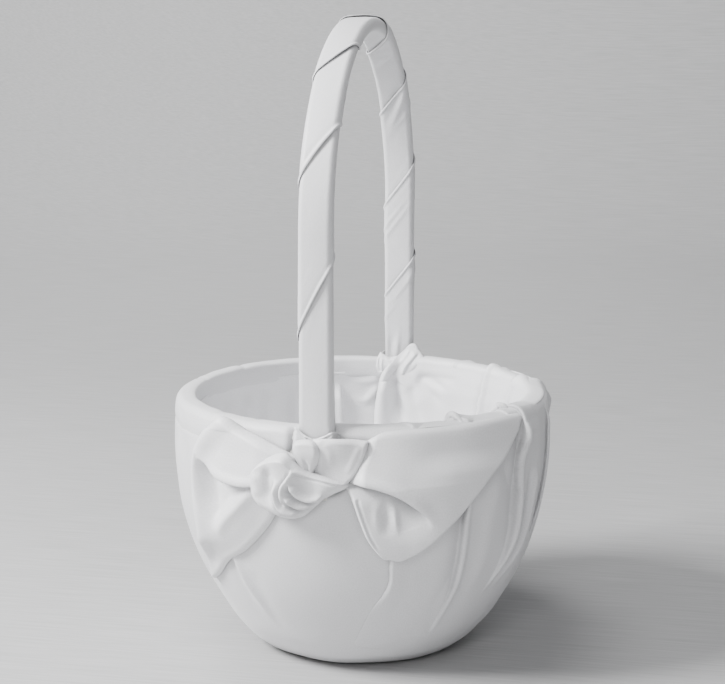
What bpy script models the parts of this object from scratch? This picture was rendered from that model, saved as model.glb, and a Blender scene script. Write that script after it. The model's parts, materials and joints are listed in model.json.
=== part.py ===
"""Satin flower girl basket: a moulded bowl, padded and covered in satin, with a ribbon-wrapped arched handle.

Metres, +Z up. The origin is the middle of the underside. The handle stands in the YZ plane, with one foot at
the front (-Y) and one at the back (+Y), and a sash is knotted round each foot. From a knot, the sash falls as
a swag towards the pleated side (+X) and as a folded loop towards the plain side (-X). The back half is the
front half mirrored in y. Bearings round the bowl are in degrees from the front, positive towards +X.
"""

import math

import bmesh
import bpy

MM = 0.001
GAP = 0.3 * MM

# Driving dimensions.
BODY_RADIUS = 82.5 * MM
RIM_HEIGHT = 113.3 * MM
HANDLE_RADIUS = 81.6 * MM
HANDLE_SPRING_HEIGHT = 191.0 * MM

# Outside of the covered bowl, from the foot to the underside of the rim: height, radius.
BODY_PROFILE = (
    (0.4 * MM, 39.0 * MM),
    (1.8 * MM, 43.0 * MM),
    (5.0 * MM, 48.4 * MM),
    (12.0 * MM, 55.3 * MM),
    (24.0 * MM, 63.2 * MM),
    (40.0 * MM, 72.1 * MM),
    (58.0 * MM, 77.9 * MM),
    (76.0 * MM, 81.5 * MM),
    (90.0 * MM, BODY_RADIUS),
    (103.4 * MM, 82.3 * MM),
)
# The same outline carried on over the outer half of the rim, for what hangs from the rim, and straight up past
# the rim, for the knots in front of the handle's feet.
HANGING_PROFILE = BODY_PROFILE + ((108.4 * MM, 82.2 * MM), (113.0 * MM, 80.4 * MM))
KNOT_PROFILE = BODY_PROFILE + ((116.0 * MM, 82.3 * MM),)

# Layers of the wall: depth of the outer face and of the inner face below the outside.
COVER = (0.0, 1.0 * MM)
PADDING = (1.3 * MM, 3.5 * MM)
SHELL = (3.8 * MM, 6.2 * MM)
LINING = (6.5 * MM, 7.5 * MM)
INNER_DRAPE = (7.8 * MM, 8.9 * MM)
SEGMENTS = 40

# Rim: a rounded section over the top edge of the wall.
RIM_RADIUS = 77.5 * MM
RIM_HALF_WIDTH = 4.5 * MM
RIM_HALF_HEIGHT = 4.8 * MM
RIM_CENTRE_HEIGHT = RIM_HEIGHT - RIM_HALF_HEIGHT
BINDING_THICKNESS = 0.9 * MM
BINDING_HALF_SLIT = 35.0
RIM_STEPS = 8

# Handle: a flat strip in a padded sleeve in a ribbon wrap.
CORE_WIDTH, CORE_THICKNESS = 9.0 * MM, 2.0 * MM
SLEEVE_WIDTH, SLEEVE_THICKNESS = 12.2 * MM, 4.1 * MM
RIBBON_WIDTH, RIBBON_THICKNESS = 13.8 * MM, 5.5 * MM
RIBBON_WALL = 0.5 * MM
CORE_FOOT_HEIGHT = 84.0 * MM
RIBBON_FOOT_HEIGHT = 104.4 * MM
ARCH_STEPS = 20

# Rivets through the feet of the strip, and the flats on the bowl that the strip lies against.
RIVET_HEIGHTS = {"upper": 98.5 * MM, "lower": 88.5 * MM}
RIVET_SHANK_RADIUS = 1.5 * MM
RIVET_HEAD_RADIUS = 2.8 * MM
RIVET_HEAD_THICKNESS = 0.8 * MM
BOSS_HALF_WIDTH = 7.0 * MM
BOSS_FACE = HANDLE_RADIUS - CORE_THICKNESS / 2 - GAP
STRIP_OUTER_FACE = HANDLE_RADIUS + CORE_THICKNESS / 2
RIVET_INNER_FACE = 76.3 * MM

# Flat pieces at the foot and on the floor: radius, low face, high face.
BASE_PAD = (37.8 * MM, 0.0, 1.2 * MM)
BASE_BOARD = (36.6 * MM, 1.5 * MM, 3.6 * MM)
FLOOR_BOARD = (35.8 * MM, 6.6 * MM, 8.2 * MM)
FLOOR_PADDING = (38.8 * MM, 8.6 * MM, 11.0 * MM)
FLOOR_COVER_RADIUS = 42.0 * MM
FLOOR_COVER_TOP = 12.4 * MM
FLOOR_COVER_FOOT = 10.4 * MM

# Outlines of the sash, on the front of the bowl: height, bearing of the left edge, bearing of the right edge.
SWAG_OUTLINE = (
    (59.0 * MM, 22.0, 25.0),
    (65.0 * MM, 15.5, 34.0),
    (77.0 * MM, 12.0, 43.5),
    (91.0 * MM, 9.5, 52.5),
    (102.0 * MM, 12.0, 62.0),
    (111.5 * MM, 15.5, 68.0),
)
LOOP_OUTLINE = (
    (37.5 * MM, -51.5, -48.5),
    (50.0 * MM, -45.0, -33.0),
    (65.0 * MM, -41.6, -18.5),
    (75.0 * MM, -41.2, -18.5),
    (86.0 * MM, -41.0, -21.5),
    (96.0 * MM, -41.0, -19.5),
    (101.0 * MM, -39.5, -11.5),
    (106.0 * MM, -36.5, -12.0),
    (112.0 * MM, -31.0, -26.0),
)
KNOT_BAND_OUTLINE = (
    (92.0 * MM, 0.4, 8.2),
    (98.0 * MM, 0.5, 10.6),
    (105.0 * MM, 0.4, 12.2),
    (111.5 * MM, 0.3, 13.6),
)
KNOT_WRAP_OUTLINE = (
    (96.6 * MM, -4.6, -0.6),
    (101.0 * MM, -6.8, -0.3),
    (107.0 * MM, -7.2, -0.4),
    (112.0 * MM, -6.4, -0.5),
)
KNOT_ROLL_BEARING, KNOT_ROLL_HALF_ARC = -11.5, 8.5
KNOT_ROLL_HEIGHT, KNOT_ROLL_HALF_HEIGHT = 86.0 * MM, 10.0 * MM

# How far each sash piece stands from the covered bowl, and its thickness at the edge and in the middle.
SWAG_STAND, SWAG_EDGE, SWAG_BELLY = 3.0 * MM, 0.8 * MM, 5.5 * MM
LOOP_STAND, LOOP_EDGE, LOOP_BELLY = 1.4 * MM, 1.0 * MM, 8.0 * MM
KNOT_STAND, KNOT_EDGE, KNOT_BELLY = 2.9 * MM, 2.5 * MM, 5.0 * MM
ROLL_STAND, ROLL_EDGE, ROLL_BELLY = 1.8 * MM, 3.0 * MM, 12.0 * MM

# Pleated panel on the plain bowl's +X side: bearings of its edges at the foot and at the rim, and its folds.
DRAPE_ROWS = BODY_PROFILE[3:]
DRAPE_FOOT_ARC, DRAPE_RIM_ARC = (22.0, 158.0), (60.0, 120.0)
DRAPE_STAND, DRAPE_THICKNESS = 0.9 * MM, 0.9 * MM
PLEAT_COUNT, PLEAT_RISE = 5, 0.4 * MM
INNER_DRAPE_LOW, INNER_DRAPE_HIGH = 16.0 * MM, 102.5 * MM
INNER_DRAPE_ARC = (14.0, 166.0)

WHITE_SATIN = (0.78, 0.78, 0.80)
SHARP_ANGLE = math.radians(50.0)


def material(name, colour, roughness, metallic=0.0):
    made = bpy.data.materials.new(name)
    made.use_nodes = True
    shader = made.node_tree.nodes["Principled BSDF"]
    shader.inputs["Base Color"].default_value = (*colour, 1.0)
    shader.inputs["Roughness"].default_value = roughness
    shader.inputs["Metallic"].default_value = metallic
    made.diffuse_color = (*colour, 1.0)
    return made


def make_materials():
    return {
        "cover_satin": material("cover_satin", WHITE_SATIN, 0.45),
        "sash_satin": material("sash_satin", (0.82, 0.82, 0.84), 0.40),
        "ribbon_satin": material("ribbon_satin", (0.80, 0.80, 0.82), 0.40),
        "lining_satin": material("lining_satin", (0.74, 0.74, 0.76), 0.50),
        "padding": material("padding", (0.86, 0.86, 0.84), 0.95),
        "bowl_plastic": material("bowl_plastic", (0.80, 0.79, 0.75), 0.60),
        "board": material("board", (0.62, 0.55, 0.45), 0.90),
        "base_felt": material("base_felt", (0.80, 0.80, 0.81), 0.95),
        "rivet_metal": material("rivet_metal", (0.66, 0.66, 0.68), 0.35, 1.0),
    }


def add_object(name, mesh_data, finish, parent):
    """Turn a bmesh into a named object with outward faces and one material."""
    bmesh.ops.recalc_face_normals(mesh_data, faces=mesh_data.faces)
    mesh = bpy.data.meshes.new(name)
    mesh_data.to_mesh(mesh)
    mesh_data.free()
    mesh.shade_smooth()
    mesh.set_sharp_from_angle(angle=SHARP_ANGLE)
    mesh.materials.append(finish)
    made = bpy.data.objects.new(name, mesh)
    bpy.context.scene.collection.objects.link(made)
    made.parent = parent
    return made


def layer(profile, depth):
    """Move an outline of (height, radius) rows inwards, square to itself, by depth. Negative depths stand out."""
    moved = []
    for index, (height, radius) in enumerate(profile):
        before = profile[max(index - 1, 0)]
        after = profile[min(index + 1, len(profile) - 1)]
        rise, spread = after[0] - before[0], after[1] - before[1]
        length = math.hypot(rise, spread)
        moved.append((height + depth * spread / length, radius - depth * rise / length))
    return moved


def along(rows, height, column):
    """Read one column of rows at a height, straight between the rows and held at the ends."""
    if height <= rows[0][0]:
        return rows[0][column]
    for low, high in zip(rows, rows[1:]):
        if height <= high[0]:
            share = (height - low[0]) / (high[0] - low[0])
            return low[column] + share * (high[column] - low[column])
    return rows[-1][column]


def turned(name, outline, finish, parent, ring=True, segments=SEGMENTS):
    """Turn an outline of (height, radius) rows about +Z.

    A ring's outline closes on itself. Otherwise flat faces close the first and last rows.
    """
    mesh_data = bmesh.new()
    rings = []
    for height, radius in outline:
        angles = (math.tau * step / segments for step in range(segments))
        rings.append([mesh_data.verts.new((radius * math.cos(a), radius * math.sin(a), height)) for a in angles])
    pairs = list(zip(rings, rings[1:]))
    if ring:
        pairs.append((rings[-1], rings[0]))
    else:
        mesh_data.faces.new(rings[0])
        mesh_data.faces.new(rings[-1])
    for low, high in pairs:
        for step in range(segments):
            following = (step + 1) % segments
            mesh_data.faces.new((low[step], low[following], high[following], high[step]))
    return add_object(name, mesh_data, finish, parent)


def disc(name, size, finish, parent):
    radius, low, high = size
    return turned(name, [(low, radius), (high, radius)], finish, parent, ring=False)


def wall(name, depths, finish, parent):
    """One layer of the side wall, open at the foot and at the rim."""
    outer = layer(BODY_PROFILE, depths[0])
    inner = layer(BODY_PROFILE, depths[1])
    return turned(name, outer + inner[::-1], finish, parent)


def cutter(name, low, high, parent):
    """A box that only cuts other objects."""
    mesh_data = bmesh.new()
    bmesh.ops.create_cube(mesh_data, size=1.0)
    for vertex in mesh_data.verts:
        vertex.co = [a + (b - a) * (c + 0.5) for a, b, c in zip(low, high, vertex.co)]
    return guide(name, mesh_data, parent)


def round_cutter(name, radius, height, low, high, parent, segments=16):
    """A cylinder along Y, at x = 0, that only cuts other objects."""
    mesh_data = bmesh.new()
    bmesh.ops.create_cone(
        mesh_data, cap_ends=True, segments=segments, radius1=radius, radius2=radius, depth=high - low
    )
    for vertex in mesh_data.verts:
        x, y, z = vertex.co
        vertex.co = (x, z + (low + high) / 2, height - y)
    return guide(name, mesh_data, parent)


def guide(name, mesh_data, parent):
    made = add_object(name, mesh_data, None, parent)
    made.hide_render = True
    made.display_type = "WIRE"
    return made


def boolean(target, tool, operation="DIFFERENCE"):
    modifier = target.modifiers.new(f"{operation.lower()} {tool.name}", "BOOLEAN")
    modifier.operation = operation
    modifier.solver = "EXACT"
    modifier.object = tool


def both_sides(low, high):
    """The front and back spans of y for a box that reaches from low to high outwards."""
    return {"front": (-high, -low), "back": (low, high)}


def make_bowl(finish, parent):
    """The moulded bowl: a floor and a wall, with a flat boss and two countersunk rivet holes at each foot."""
    outer = layer(BODY_PROFILE, SHELL[0])
    inner = layer(BODY_PROFILE, SHELL[1])
    bowl = turned("basket_shell", outer + inner[::-1], finish, parent, ring=False)
    boss_root, boss_top = 77.3 * MM, 102.6 * MM
    for end, (low, high) in both_sides(boss_root, BOSS_FACE).items():
        corner = (-BOSS_HALF_WIDTH, low, CORE_FOOT_HEIGHT)
        boolean(bowl, cutter(f"{end}_boss", corner, (BOSS_HALF_WIDTH, high, boss_top), parent), "UNION")
    sink_from, hole_to = 70.0 * MM, 90.0 * MM
    sink_to = RIVET_INNER_FACE + RIVET_HEAD_THICKNESS + GAP
    for level, height in RIVET_HEIGHTS.items():
        for end, (low, high) in both_sides(sink_from, hole_to).items():
            hole = round_cutter(f"{end}_{level}_hole", RIVET_SHANK_RADIUS + GAP, height, low, high, parent)
            boolean(bowl, hole)
        for end, (low, high) in both_sides(sink_from, sink_to).items():
            sink = round_cutter(f"{end}_{level}_sink", RIVET_HEAD_RADIUS + GAP, height, low, high, parent)
            boolean(bowl, sink)
    return bowl


def make_walls(finishes, parent):
    """Padding and cover outside the bowl, both notched round the feet of the handle, and the lining inside."""
    padding = wall("shell_padding", PADDING, finishes["padding"], parent)
    cover = wall("outer_cover", COVER, finishes["cover_satin"], parent)
    wall("lining", LINING, finishes["lining_satin"], parent)
    notch_half_width, notch_inner, notch_outer = 7.6 * MM, 60.0 * MM, 100.0 * MM
    notch_foot, notch_top = 82.5 * MM, 120.0 * MM
    for end, (low, high) in both_sides(notch_inner, notch_outer).items():
        corner = (-notch_half_width, low, notch_foot)
        notch = cutter(f"{end}_wall_notch", corner, (notch_half_width, high, notch_top), parent)
        boolean(padding, notch)
        boolean(cover, notch)


def rim_arc(half_width, half_height, start, end, steps):
    """Points of an ellipse round the middle of the rim's section, as (height, radius) rows."""
    rows = []
    for step in range(steps + 1):
        angle = math.radians(start + (end - start) * step / steps)
        height = RIM_CENTRE_HEIGHT + half_height * math.sin(angle)
        rows.append((height, RIM_RADIUS + half_width * math.cos(angle)))
    return rows


def make_rim(finishes, parent):
    """A padded roll in a satin binding that is open underneath, both notched where the handle passes outside."""
    start, end = -90.0 + BINDING_HALF_SLIT, 270.0 - BINDING_HALF_SLIT
    inner_width, inner_height = RIM_HALF_WIDTH - BINDING_THICKNESS, RIM_HALF_HEIGHT - BINDING_THICKNESS
    outer = rim_arc(RIM_HALF_WIDTH, RIM_HALF_HEIGHT, start, end, RIM_STEPS)
    inner = rim_arc(inner_width, inner_height, start, end, RIM_STEPS)
    binding = turned("rim_binding", outer + inner[::-1], finishes["cover_satin"], parent)
    core = rim_arc(inner_width - 2 * GAP, inner_height - 2 * GAP, 0.0, 360.0, RIM_STEPS)[:-1]
    padding = turned("rim_padding", core, finishes["padding"], parent)
    notch_half_width, notch_outer = 7.6 * MM, 90.0 * MM
    notch_inner = HANDLE_RADIUS - RIBBON_THICKNESS / 2 - 1.5 * GAP
    notch_foot, notch_top = 100.0 * MM, 120.0 * MM
    for end_name, (low, high) in both_sides(notch_inner, notch_outer).items():
        corner = (-notch_half_width, low, notch_foot)
        notch = cutter(f"{end_name}_rim_notch", corner, (notch_half_width, high, notch_top), parent)
        boolean(binding, notch)
        boolean(padding, notch)


def make_base_and_floor(finishes, parent):
    disc("base_pad", BASE_PAD, finishes["base_felt"], parent)
    disc("base_board", BASE_BOARD, finishes["board"], parent)
    disc("floor_board", FLOOR_BOARD, finishes["board"], parent)
    disc("floor_padding", FLOOR_PADDING, finishes["padding"], parent)
    thickness = 1.0 * MM
    outline = (
        (FLOOR_COVER_TOP - thickness, FLOOR_COVER_RADIUS - thickness),
        (FLOOR_COVER_FOOT, FLOOR_COVER_RADIUS - thickness),
        (FLOOR_COVER_FOOT, FLOOR_COVER_RADIUS),
        (FLOOR_COVER_TOP, FLOOR_COVER_RADIUS - thickness / 2),
    )
    turned("floor_cover", outline, finishes["lining_satin"], parent, ring=False)


def handle_path(foot_height):
    """Centre line of the handle from the front foot to the back one: (y, z) points with outward directions."""
    path = [((-HANDLE_RADIUS, foot_height), (-1.0, 0.0))]
    for step in range(ARCH_STEPS + 1):
        angle = math.pi * (1 - step / ARCH_STEPS)
        outward = (math.cos(angle), math.sin(angle))
        point = (HANDLE_RADIUS * outward[0], HANDLE_SPRING_HEIGHT + HANDLE_RADIUS * outward[1])
        path.append((point, outward))
    path.append(((HANDLE_RADIUS, foot_height), (1.0, 0.0)))
    return path


def flat_section(width, thickness, corner):
    """A rectangle with cut corners, as (x, outward) points."""
    half_width, half_thickness = width / 2, thickness / 2
    quarter = ((half_width, half_thickness - corner), (half_width - corner, half_thickness))
    upper = quarter + tuple((-x, out) for x, out in quarter[::-1])
    return upper + tuple((-x, -out) for x, out in upper)


def swept(name, outer, inner, foot_height, finish, parent):
    """Sweep a section along the handle. With an inner section it is a sleeve, open at both feet."""
    mesh_data = bmesh.new()
    tubes = []
    for section in filter(None, (outer, inner)):
        rings = []
        for (y, z), (out_y, out_z) in handle_path(foot_height):
            rings.append([mesh_data.verts.new((x, y + out * out_y, z + out * out_z)) for x, out in section])
        tubes.append(rings)
        for low, high in zip(rings, rings[1:]):
            for side in range(len(section)):
                following = (side + 1) % len(section)
                mesh_data.faces.new((low[side], low[following], high[following], high[side]))
    for end in (0, -1):
        if inner is None:
            mesh_data.faces.new(tubes[0][end])
            continue
        rim, hole = tubes[0][end], tubes[1][end]
        for side in range(len(rim)):
            following = (side + 1) % len(rim)
            mesh_data.faces.new((rim[side], rim[following], hole[following], hole[side]))
    return add_object(name, mesh_data, finish, parent)


def make_handle(finishes, parent):
    corner = 0.6 * MM
    core_section = flat_section(CORE_WIDTH, CORE_THICKNESS, corner)
    core = swept("handle_core", core_section, None, CORE_FOOT_HEIGHT, finishes["bowl_plastic"], parent)
    hole_from, hole_to = 75.0 * MM, 90.0 * MM
    for level, height in RIVET_HEIGHTS.items():
        for end, (low, high) in both_sides(hole_from, hole_to).items():
            name = f"{end}_{level}_strip_hole"
            boolean(core, round_cutter(name, RIVET_SHANK_RADIUS + GAP, height, low, high, parent))
    sleeve = flat_section(SLEEVE_WIDTH, SLEEVE_THICKNESS, 2 * corner)
    sleeve_hole = flat_section(CORE_WIDTH + 2 * GAP, CORE_THICKNESS + 2 * GAP, corner)
    swept("handle_padding", sleeve, sleeve_hole, RIBBON_FOOT_HEIGHT, finishes["padding"], parent)
    ribbon = flat_section(RIBBON_WIDTH, RIBBON_THICKNESS, 2.5 * corner)
    hole_width, hole_thickness = RIBBON_WIDTH - 2 * RIBBON_WALL, RIBBON_THICKNESS - 2 * RIBBON_WALL
    ribbon_hole = flat_section(hole_width, hole_thickness, 2.1 * corner)
    swept("handle_ribbon", ribbon, ribbon_hole, RIBBON_FOOT_HEIGHT, finishes["ribbon_satin"], parent)


def make_rivets(finish, parent):
    """Each rivet is one turned solid with a head in the bowl's countersink and a head on the strip."""
    outer_face = STRIP_OUTER_FACE + GAP
    outline = (
        (RIVET_INNER_FACE, RIVET_HEAD_RADIUS),
        (RIVET_INNER_FACE + RIVET_HEAD_THICKNESS, RIVET_HEAD_RADIUS),
        (RIVET_INNER_FACE + RIVET_HEAD_THICKNESS, RIVET_SHANK_RADIUS),
        (outer_face, RIVET_SHANK_RADIUS),
        (outer_face, RIVET_HEAD_RADIUS),
        (outer_face + RIVET_HEAD_THICKNESS, 0.7 * RIVET_HEAD_RADIUS),
    )
    for end, turn in (("front", math.pi / 2), ("back", -math.pi / 2)):
        for level, height in RIVET_HEIGHTS.items():
            rivet = turned(f"{end}_{level}_rivet", outline, finish, parent, ring=False, segments=16)
            rivet.location.z = height
            rivet.rotation_euler.x = turn


def on_bowl(rows, bearing, height, stand, mirror):
    """A point that stands off an outline, at a bearing. mirror is -1 for the front and 1 for the back."""
    index_rows = [(row[0], moved[0], moved[1]) for row, moved in zip(rows, layer(rows, -stand))]
    radius = along(index_rows, height, 2)
    angle = math.radians(bearing)
    return (radius * math.sin(angle), mirror * radius * math.cos(angle), along(index_rows, height, 1))


def patch(name, edges, faces_at, size, profile, mirror, finish, parent):
    """A closed sheet on the bowl.

    edges gives a height and two bearings from a share up. faces_at holds two functions that give how far the
    inner and the outer face stand off, from a share across and a share up. size is its columns and rows.
    """
    columns, rows = size
    mesh_data = bmesh.new()
    faces = []
    for stand_of in faces_at:
        grid = []
        for row in range(rows + 1):
            up = row / rows
            height, left, right = edges(up)
            line = []
            for column in range(columns + 1):
                across = column / columns
                bearing = left + (right - left) * across
                point = on_bowl(profile, bearing, height, stand_of(across, up), mirror)
                line.append(mesh_data.verts.new(point))
            grid.append(line)
        faces.append(grid)
        for low, high in zip(grid, grid[1:]):
            for column in range(columns):
                mesh_data.faces.new((low[column], low[column + 1], high[column + 1], high[column]))
    loops = []
    for grid in faces:
        right_side = [line[-1] for line in grid[1:-1]]
        left_side = [line[0] for line in grid[1:-1]]
        loops.append(grid[0] + right_side + grid[-1][::-1] + left_side[::-1])
    for index in range(len(loops[0])):
        following = (index + 1) % len(loops[0])
        corners = (loops[0][index], loops[0][following], loops[1][following], loops[1][index])
        mesh_data.faces.new(corners)
    return add_object(name, mesh_data, finish, parent)


def outline_edges(outline):
    """Edges for patch from rows of (height, left bearing, right bearing)."""

    def edges(up):
        height = outline[0][0] + up * (outline[-1][0] - outline[0][0])
        return height, along(outline, height, 1), along(outline, height, 2)

    return edges


def oval_edges(bearing, half_arc, height, half_height):
    """Edges for patch that follow an oval, cut short just before its tips."""
    reach = 0.94

    def edges(up):
        share = reach * (2 * up - 1)
        arc = half_arc * math.sqrt(1 - share * share)
        return height + half_height * share, bearing - arc, bearing + arc

    return edges


def domed(stand, edge, belly):
    """Inner and outer faces for patch: a flat back and a crowned front."""

    def inner(across, up):
        return stand

    def outer(across, up):
        crown = math.sin(math.pi * across) * math.sin(math.pi * (0.1 + 0.8 * up))
        return stand + edge + (belly - edge) * crown

    return inner, outer


def make_sashes(finish, parent):
    """The knotted sash at each foot of the handle: swag, loop and the three turns of the knot."""
    roll = oval_edges(KNOT_ROLL_BEARING, KNOT_ROLL_HALF_ARC, KNOT_ROLL_HEIGHT, KNOT_ROLL_HALF_HEIGHT)
    swag, loop = outline_edges(SWAG_OUTLINE), outline_edges(LOOP_OUTLINE)
    band, wrap = outline_edges(KNOT_BAND_OUTLINE), outline_edges(KNOT_WRAP_OUTLINE)
    knot_faces = domed(KNOT_STAND, KNOT_EDGE, KNOT_BELLY)
    pieces = {
        "sash_swag": (swag, domed(SWAG_STAND, SWAG_EDGE, SWAG_BELLY), (8, 7), HANGING_PROFILE),
        "sash_loop": (loop, domed(LOOP_STAND, LOOP_EDGE, LOOP_BELLY), (6, 10), HANGING_PROFILE),
        "knot_band": (band, knot_faces, (4, 5), KNOT_PROFILE),
        "knot_wrap": (wrap, knot_faces, (4, 5), KNOT_PROFILE),
        "knot_roll": (roll, domed(ROLL_STAND, ROLL_EDGE, ROLL_BELLY), (7, 7), KNOT_PROFILE),
    }
    for end, mirror in (("front", -1), ("back", 1)):
        for kind, (edges, faces_at, size, profile) in pieces.items():
            patch(f"{end}_{kind}", edges, faces_at, size, profile, mirror, finish, parent)


def make_drapes(finishes, parent):
    """The pleated panel outside the +X side, and the plain one that hangs inside from the same rim."""

    def outside_edges(up):
        left = DRAPE_FOOT_ARC[0] + up * (DRAPE_RIM_ARC[0] - DRAPE_FOOT_ARC[0])
        right = DRAPE_FOOT_ARC[1] + up * (DRAPE_RIM_ARC[1] - DRAPE_FOOT_ARC[1])
        return DRAPE_ROWS[round(up * (len(DRAPE_ROWS) - 1))][0], left, right

    def plain_back(across, up):
        return DRAPE_STAND

    def pleated_front(across, up):
        return DRAPE_STAND + DRAPE_THICKNESS - PLEAT_RISE * math.cos(math.tau * PLEAT_COUNT * across)

    def inside_edges(up):
        return (INNER_DRAPE_LOW + up * (INNER_DRAPE_HIGH - INNER_DRAPE_LOW), *INNER_DRAPE_ARC)

    def inside_face(across, up):
        return -INNER_DRAPE[1]

    def inside_back(across, up):
        return -INNER_DRAPE[0]

    outside, inside = (plain_back, pleated_front), (inside_face, inside_back)
    cover, lining = finishes["cover_satin"], finishes["lining_satin"]
    size = (20, len(DRAPE_ROWS) - 1)
    patch("pleated_drape", outside_edges, outside, size, BODY_PROFILE, 1, cover, parent)
    patch("inner_drape", inside_edges, inside, (20, 7), BODY_PROFILE, 1, lining, parent)


def main():
    for existing in list(bpy.data.objects):
        bpy.data.objects.remove(existing, do_unlink=True)
    parent = bpy.data.objects.new("flower_girl_basket", None)
    bpy.context.scene.collection.objects.link(parent)
    finishes = make_materials()
    make_bowl(finishes["bowl_plastic"], parent)
    make_walls(finishes, parent)
    make_rim(finishes, parent)
    make_base_and_floor(finishes, parent)
    make_handle(finishes, parent)
    make_rivets(finishes["rivet_metal"], parent)
    make_sashes(finishes["sash_satin"], parent)
    make_drapes(finishes, parent)


main()
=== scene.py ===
"""The looks of a satin flower girl basket: covers, pleats, knotted sashes and a ribbon-wrapped handle.

The frame is in metres. Shapes are worked out in millimetres and scaled by MM when a mesh is made. A place on
the bowl is a bearing in degrees from the front (-Y), positive towards the pleated side (+X), and a station in
millimetres: the height on the outside, then the way over the rim and down the inside. STATION_ARC turns
bearings into millimetres, so that one flat chart holds outlines, folds and creases. Each sash is made once,
for the front, and mirrored in y for the back.
"""

import json
import math

import bpy
import numpy as np
from mathutils import Matrix, Vector


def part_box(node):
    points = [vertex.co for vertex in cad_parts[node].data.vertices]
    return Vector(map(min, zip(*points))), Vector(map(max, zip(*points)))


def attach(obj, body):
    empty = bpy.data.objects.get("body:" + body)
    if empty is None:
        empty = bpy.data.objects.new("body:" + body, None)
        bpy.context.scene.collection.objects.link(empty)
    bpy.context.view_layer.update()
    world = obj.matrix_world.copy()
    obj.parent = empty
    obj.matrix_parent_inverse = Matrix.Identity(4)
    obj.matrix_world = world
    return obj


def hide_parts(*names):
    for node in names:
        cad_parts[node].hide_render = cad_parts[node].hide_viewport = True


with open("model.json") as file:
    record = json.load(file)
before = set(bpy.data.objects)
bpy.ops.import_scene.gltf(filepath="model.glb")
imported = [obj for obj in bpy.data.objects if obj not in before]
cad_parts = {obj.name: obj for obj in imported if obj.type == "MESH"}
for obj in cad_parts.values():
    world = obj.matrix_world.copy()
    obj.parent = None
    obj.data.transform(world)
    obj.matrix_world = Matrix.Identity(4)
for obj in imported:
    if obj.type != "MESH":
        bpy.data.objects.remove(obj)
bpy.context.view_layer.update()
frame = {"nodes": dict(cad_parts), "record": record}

MM = 0.001
BODY = "root"

# ---------------------------------------------------------------------------------------------- frame values
RIM_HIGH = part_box("rim_binding")[1]
RIBBON_LOW, RIBBON_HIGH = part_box("handle_ribbon")
FLOOR_LOW, FLOOR_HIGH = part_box("floor_cover")
BODY_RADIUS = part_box("outer_cover")[1].x / MM
RIM_CREST = RIM_HIGH.z / MM
RIM_HALF_HEIGHT = 4.8
RIM_HALF_WIDTH = 4.6
RIM_STAND = 0.1
RIM_RADIUS = RIM_HIGH.x / MM - RIM_HALF_WIDTH + RIM_STAND
RIM_CENTRE = RIM_CREST - RIM_HALF_HEIGHT
RIBBON_HALF_WIDTH = RIBBON_HIGH.x / MM
RIBBON_HALF_THICKNESS = 2.75
HANDLE_RADIUS = RIBBON_HIGH.y / MM - RIBBON_HALF_THICKNESS
HANDLE_SPRING = RIBBON_HIGH.z / MM - RIBBON_HALF_THICKNESS - HANDLE_RADIUS
HANDLE_FOOT = RIBBON_LOW.z / MM

# Outside of the covered bowl: height, radius as a share of the widest.
OUTSIDE = ((0.3, 0.468), (1.6, 0.524), (4.6, 0.585), (12, 0.674), (24, 0.771), (40, 0.875), (58, 0.947))
OUTSIDE += ((76, 0.988), (90, 1), (100, 0.998))
RIM_ANGLES = (0, 30, 60, 90, 112, 128, 142, 156, 172, 195)
RIM_SQUARENESS_OUTSIDE, RIM_SQUARENESS_INSIDE = 0.9, 0.4
# Inside of the lining: height, radius in millimetres.
INSIDE = ((102.5, 73.4), (96, 74), (84, 74.1), (68, 72), (50, 67.2), (34, 60.3), (21, 51.8))
INSIDE += ((12, 43.5),)
STATION_RADIUS = 80
STATION_ARC = math.radians(STATION_RADIUS)
CLOTH_THICKNESS = 0.3
COVER_THICKNESS = 0.35
RIBBON_THICKNESS = 0.2
TINY = 1e-9


# ------------------------------------------------------------------------------------------------ curves
def smooth(t):
    t = np.clip(t, 0, 1)
    return t * t * (3 - 2 * t)


def hermite(knots, values, at):
    """A smooth curve through values at rising knots, read at an array of places, straight past its ends."""
    knots, values = np.asarray(knots, float), np.asarray(values, float)
    slopes = np.gradient(values, knots, axis=0)
    at = np.asarray(at, float)
    index = np.clip(np.searchsorted(knots, at, side="right") - 1, 0, len(knots) - 2)
    span = knots[index + 1] - knots[index]
    t = np.clip((at - knots[index]) / span, 0, 1)
    if values.ndim == 2:
        t, span = t[..., None], span[..., None]
    start, end = values[index], values[index + 1]
    rise = (2 * t**3 - 3 * t**2 + 1) * start + (t**3 - 2 * t**2 + t) * span * slopes[index]
    return rise + (3 * t**2 - 2 * t**3) * end + (t**3 - t**2) * span * slopes[index + 1]


def chart(points):
    """Bearings and stations as chart millimetres."""
    return np.array([(bearing * STATION_ARC, station) for bearing, station in points], float)


def sample(points, count):
    """Points evenly spaced along a smooth curve through chart points."""
    points = np.asarray(points, float)
    steps = np.hypot(*np.diff(points, axis=0).T)
    knots = np.concatenate(([0], np.cumsum(np.maximum(steps, 1e-6))))
    return hermite(knots, points, np.linspace(0, knots[-1], count))


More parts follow.
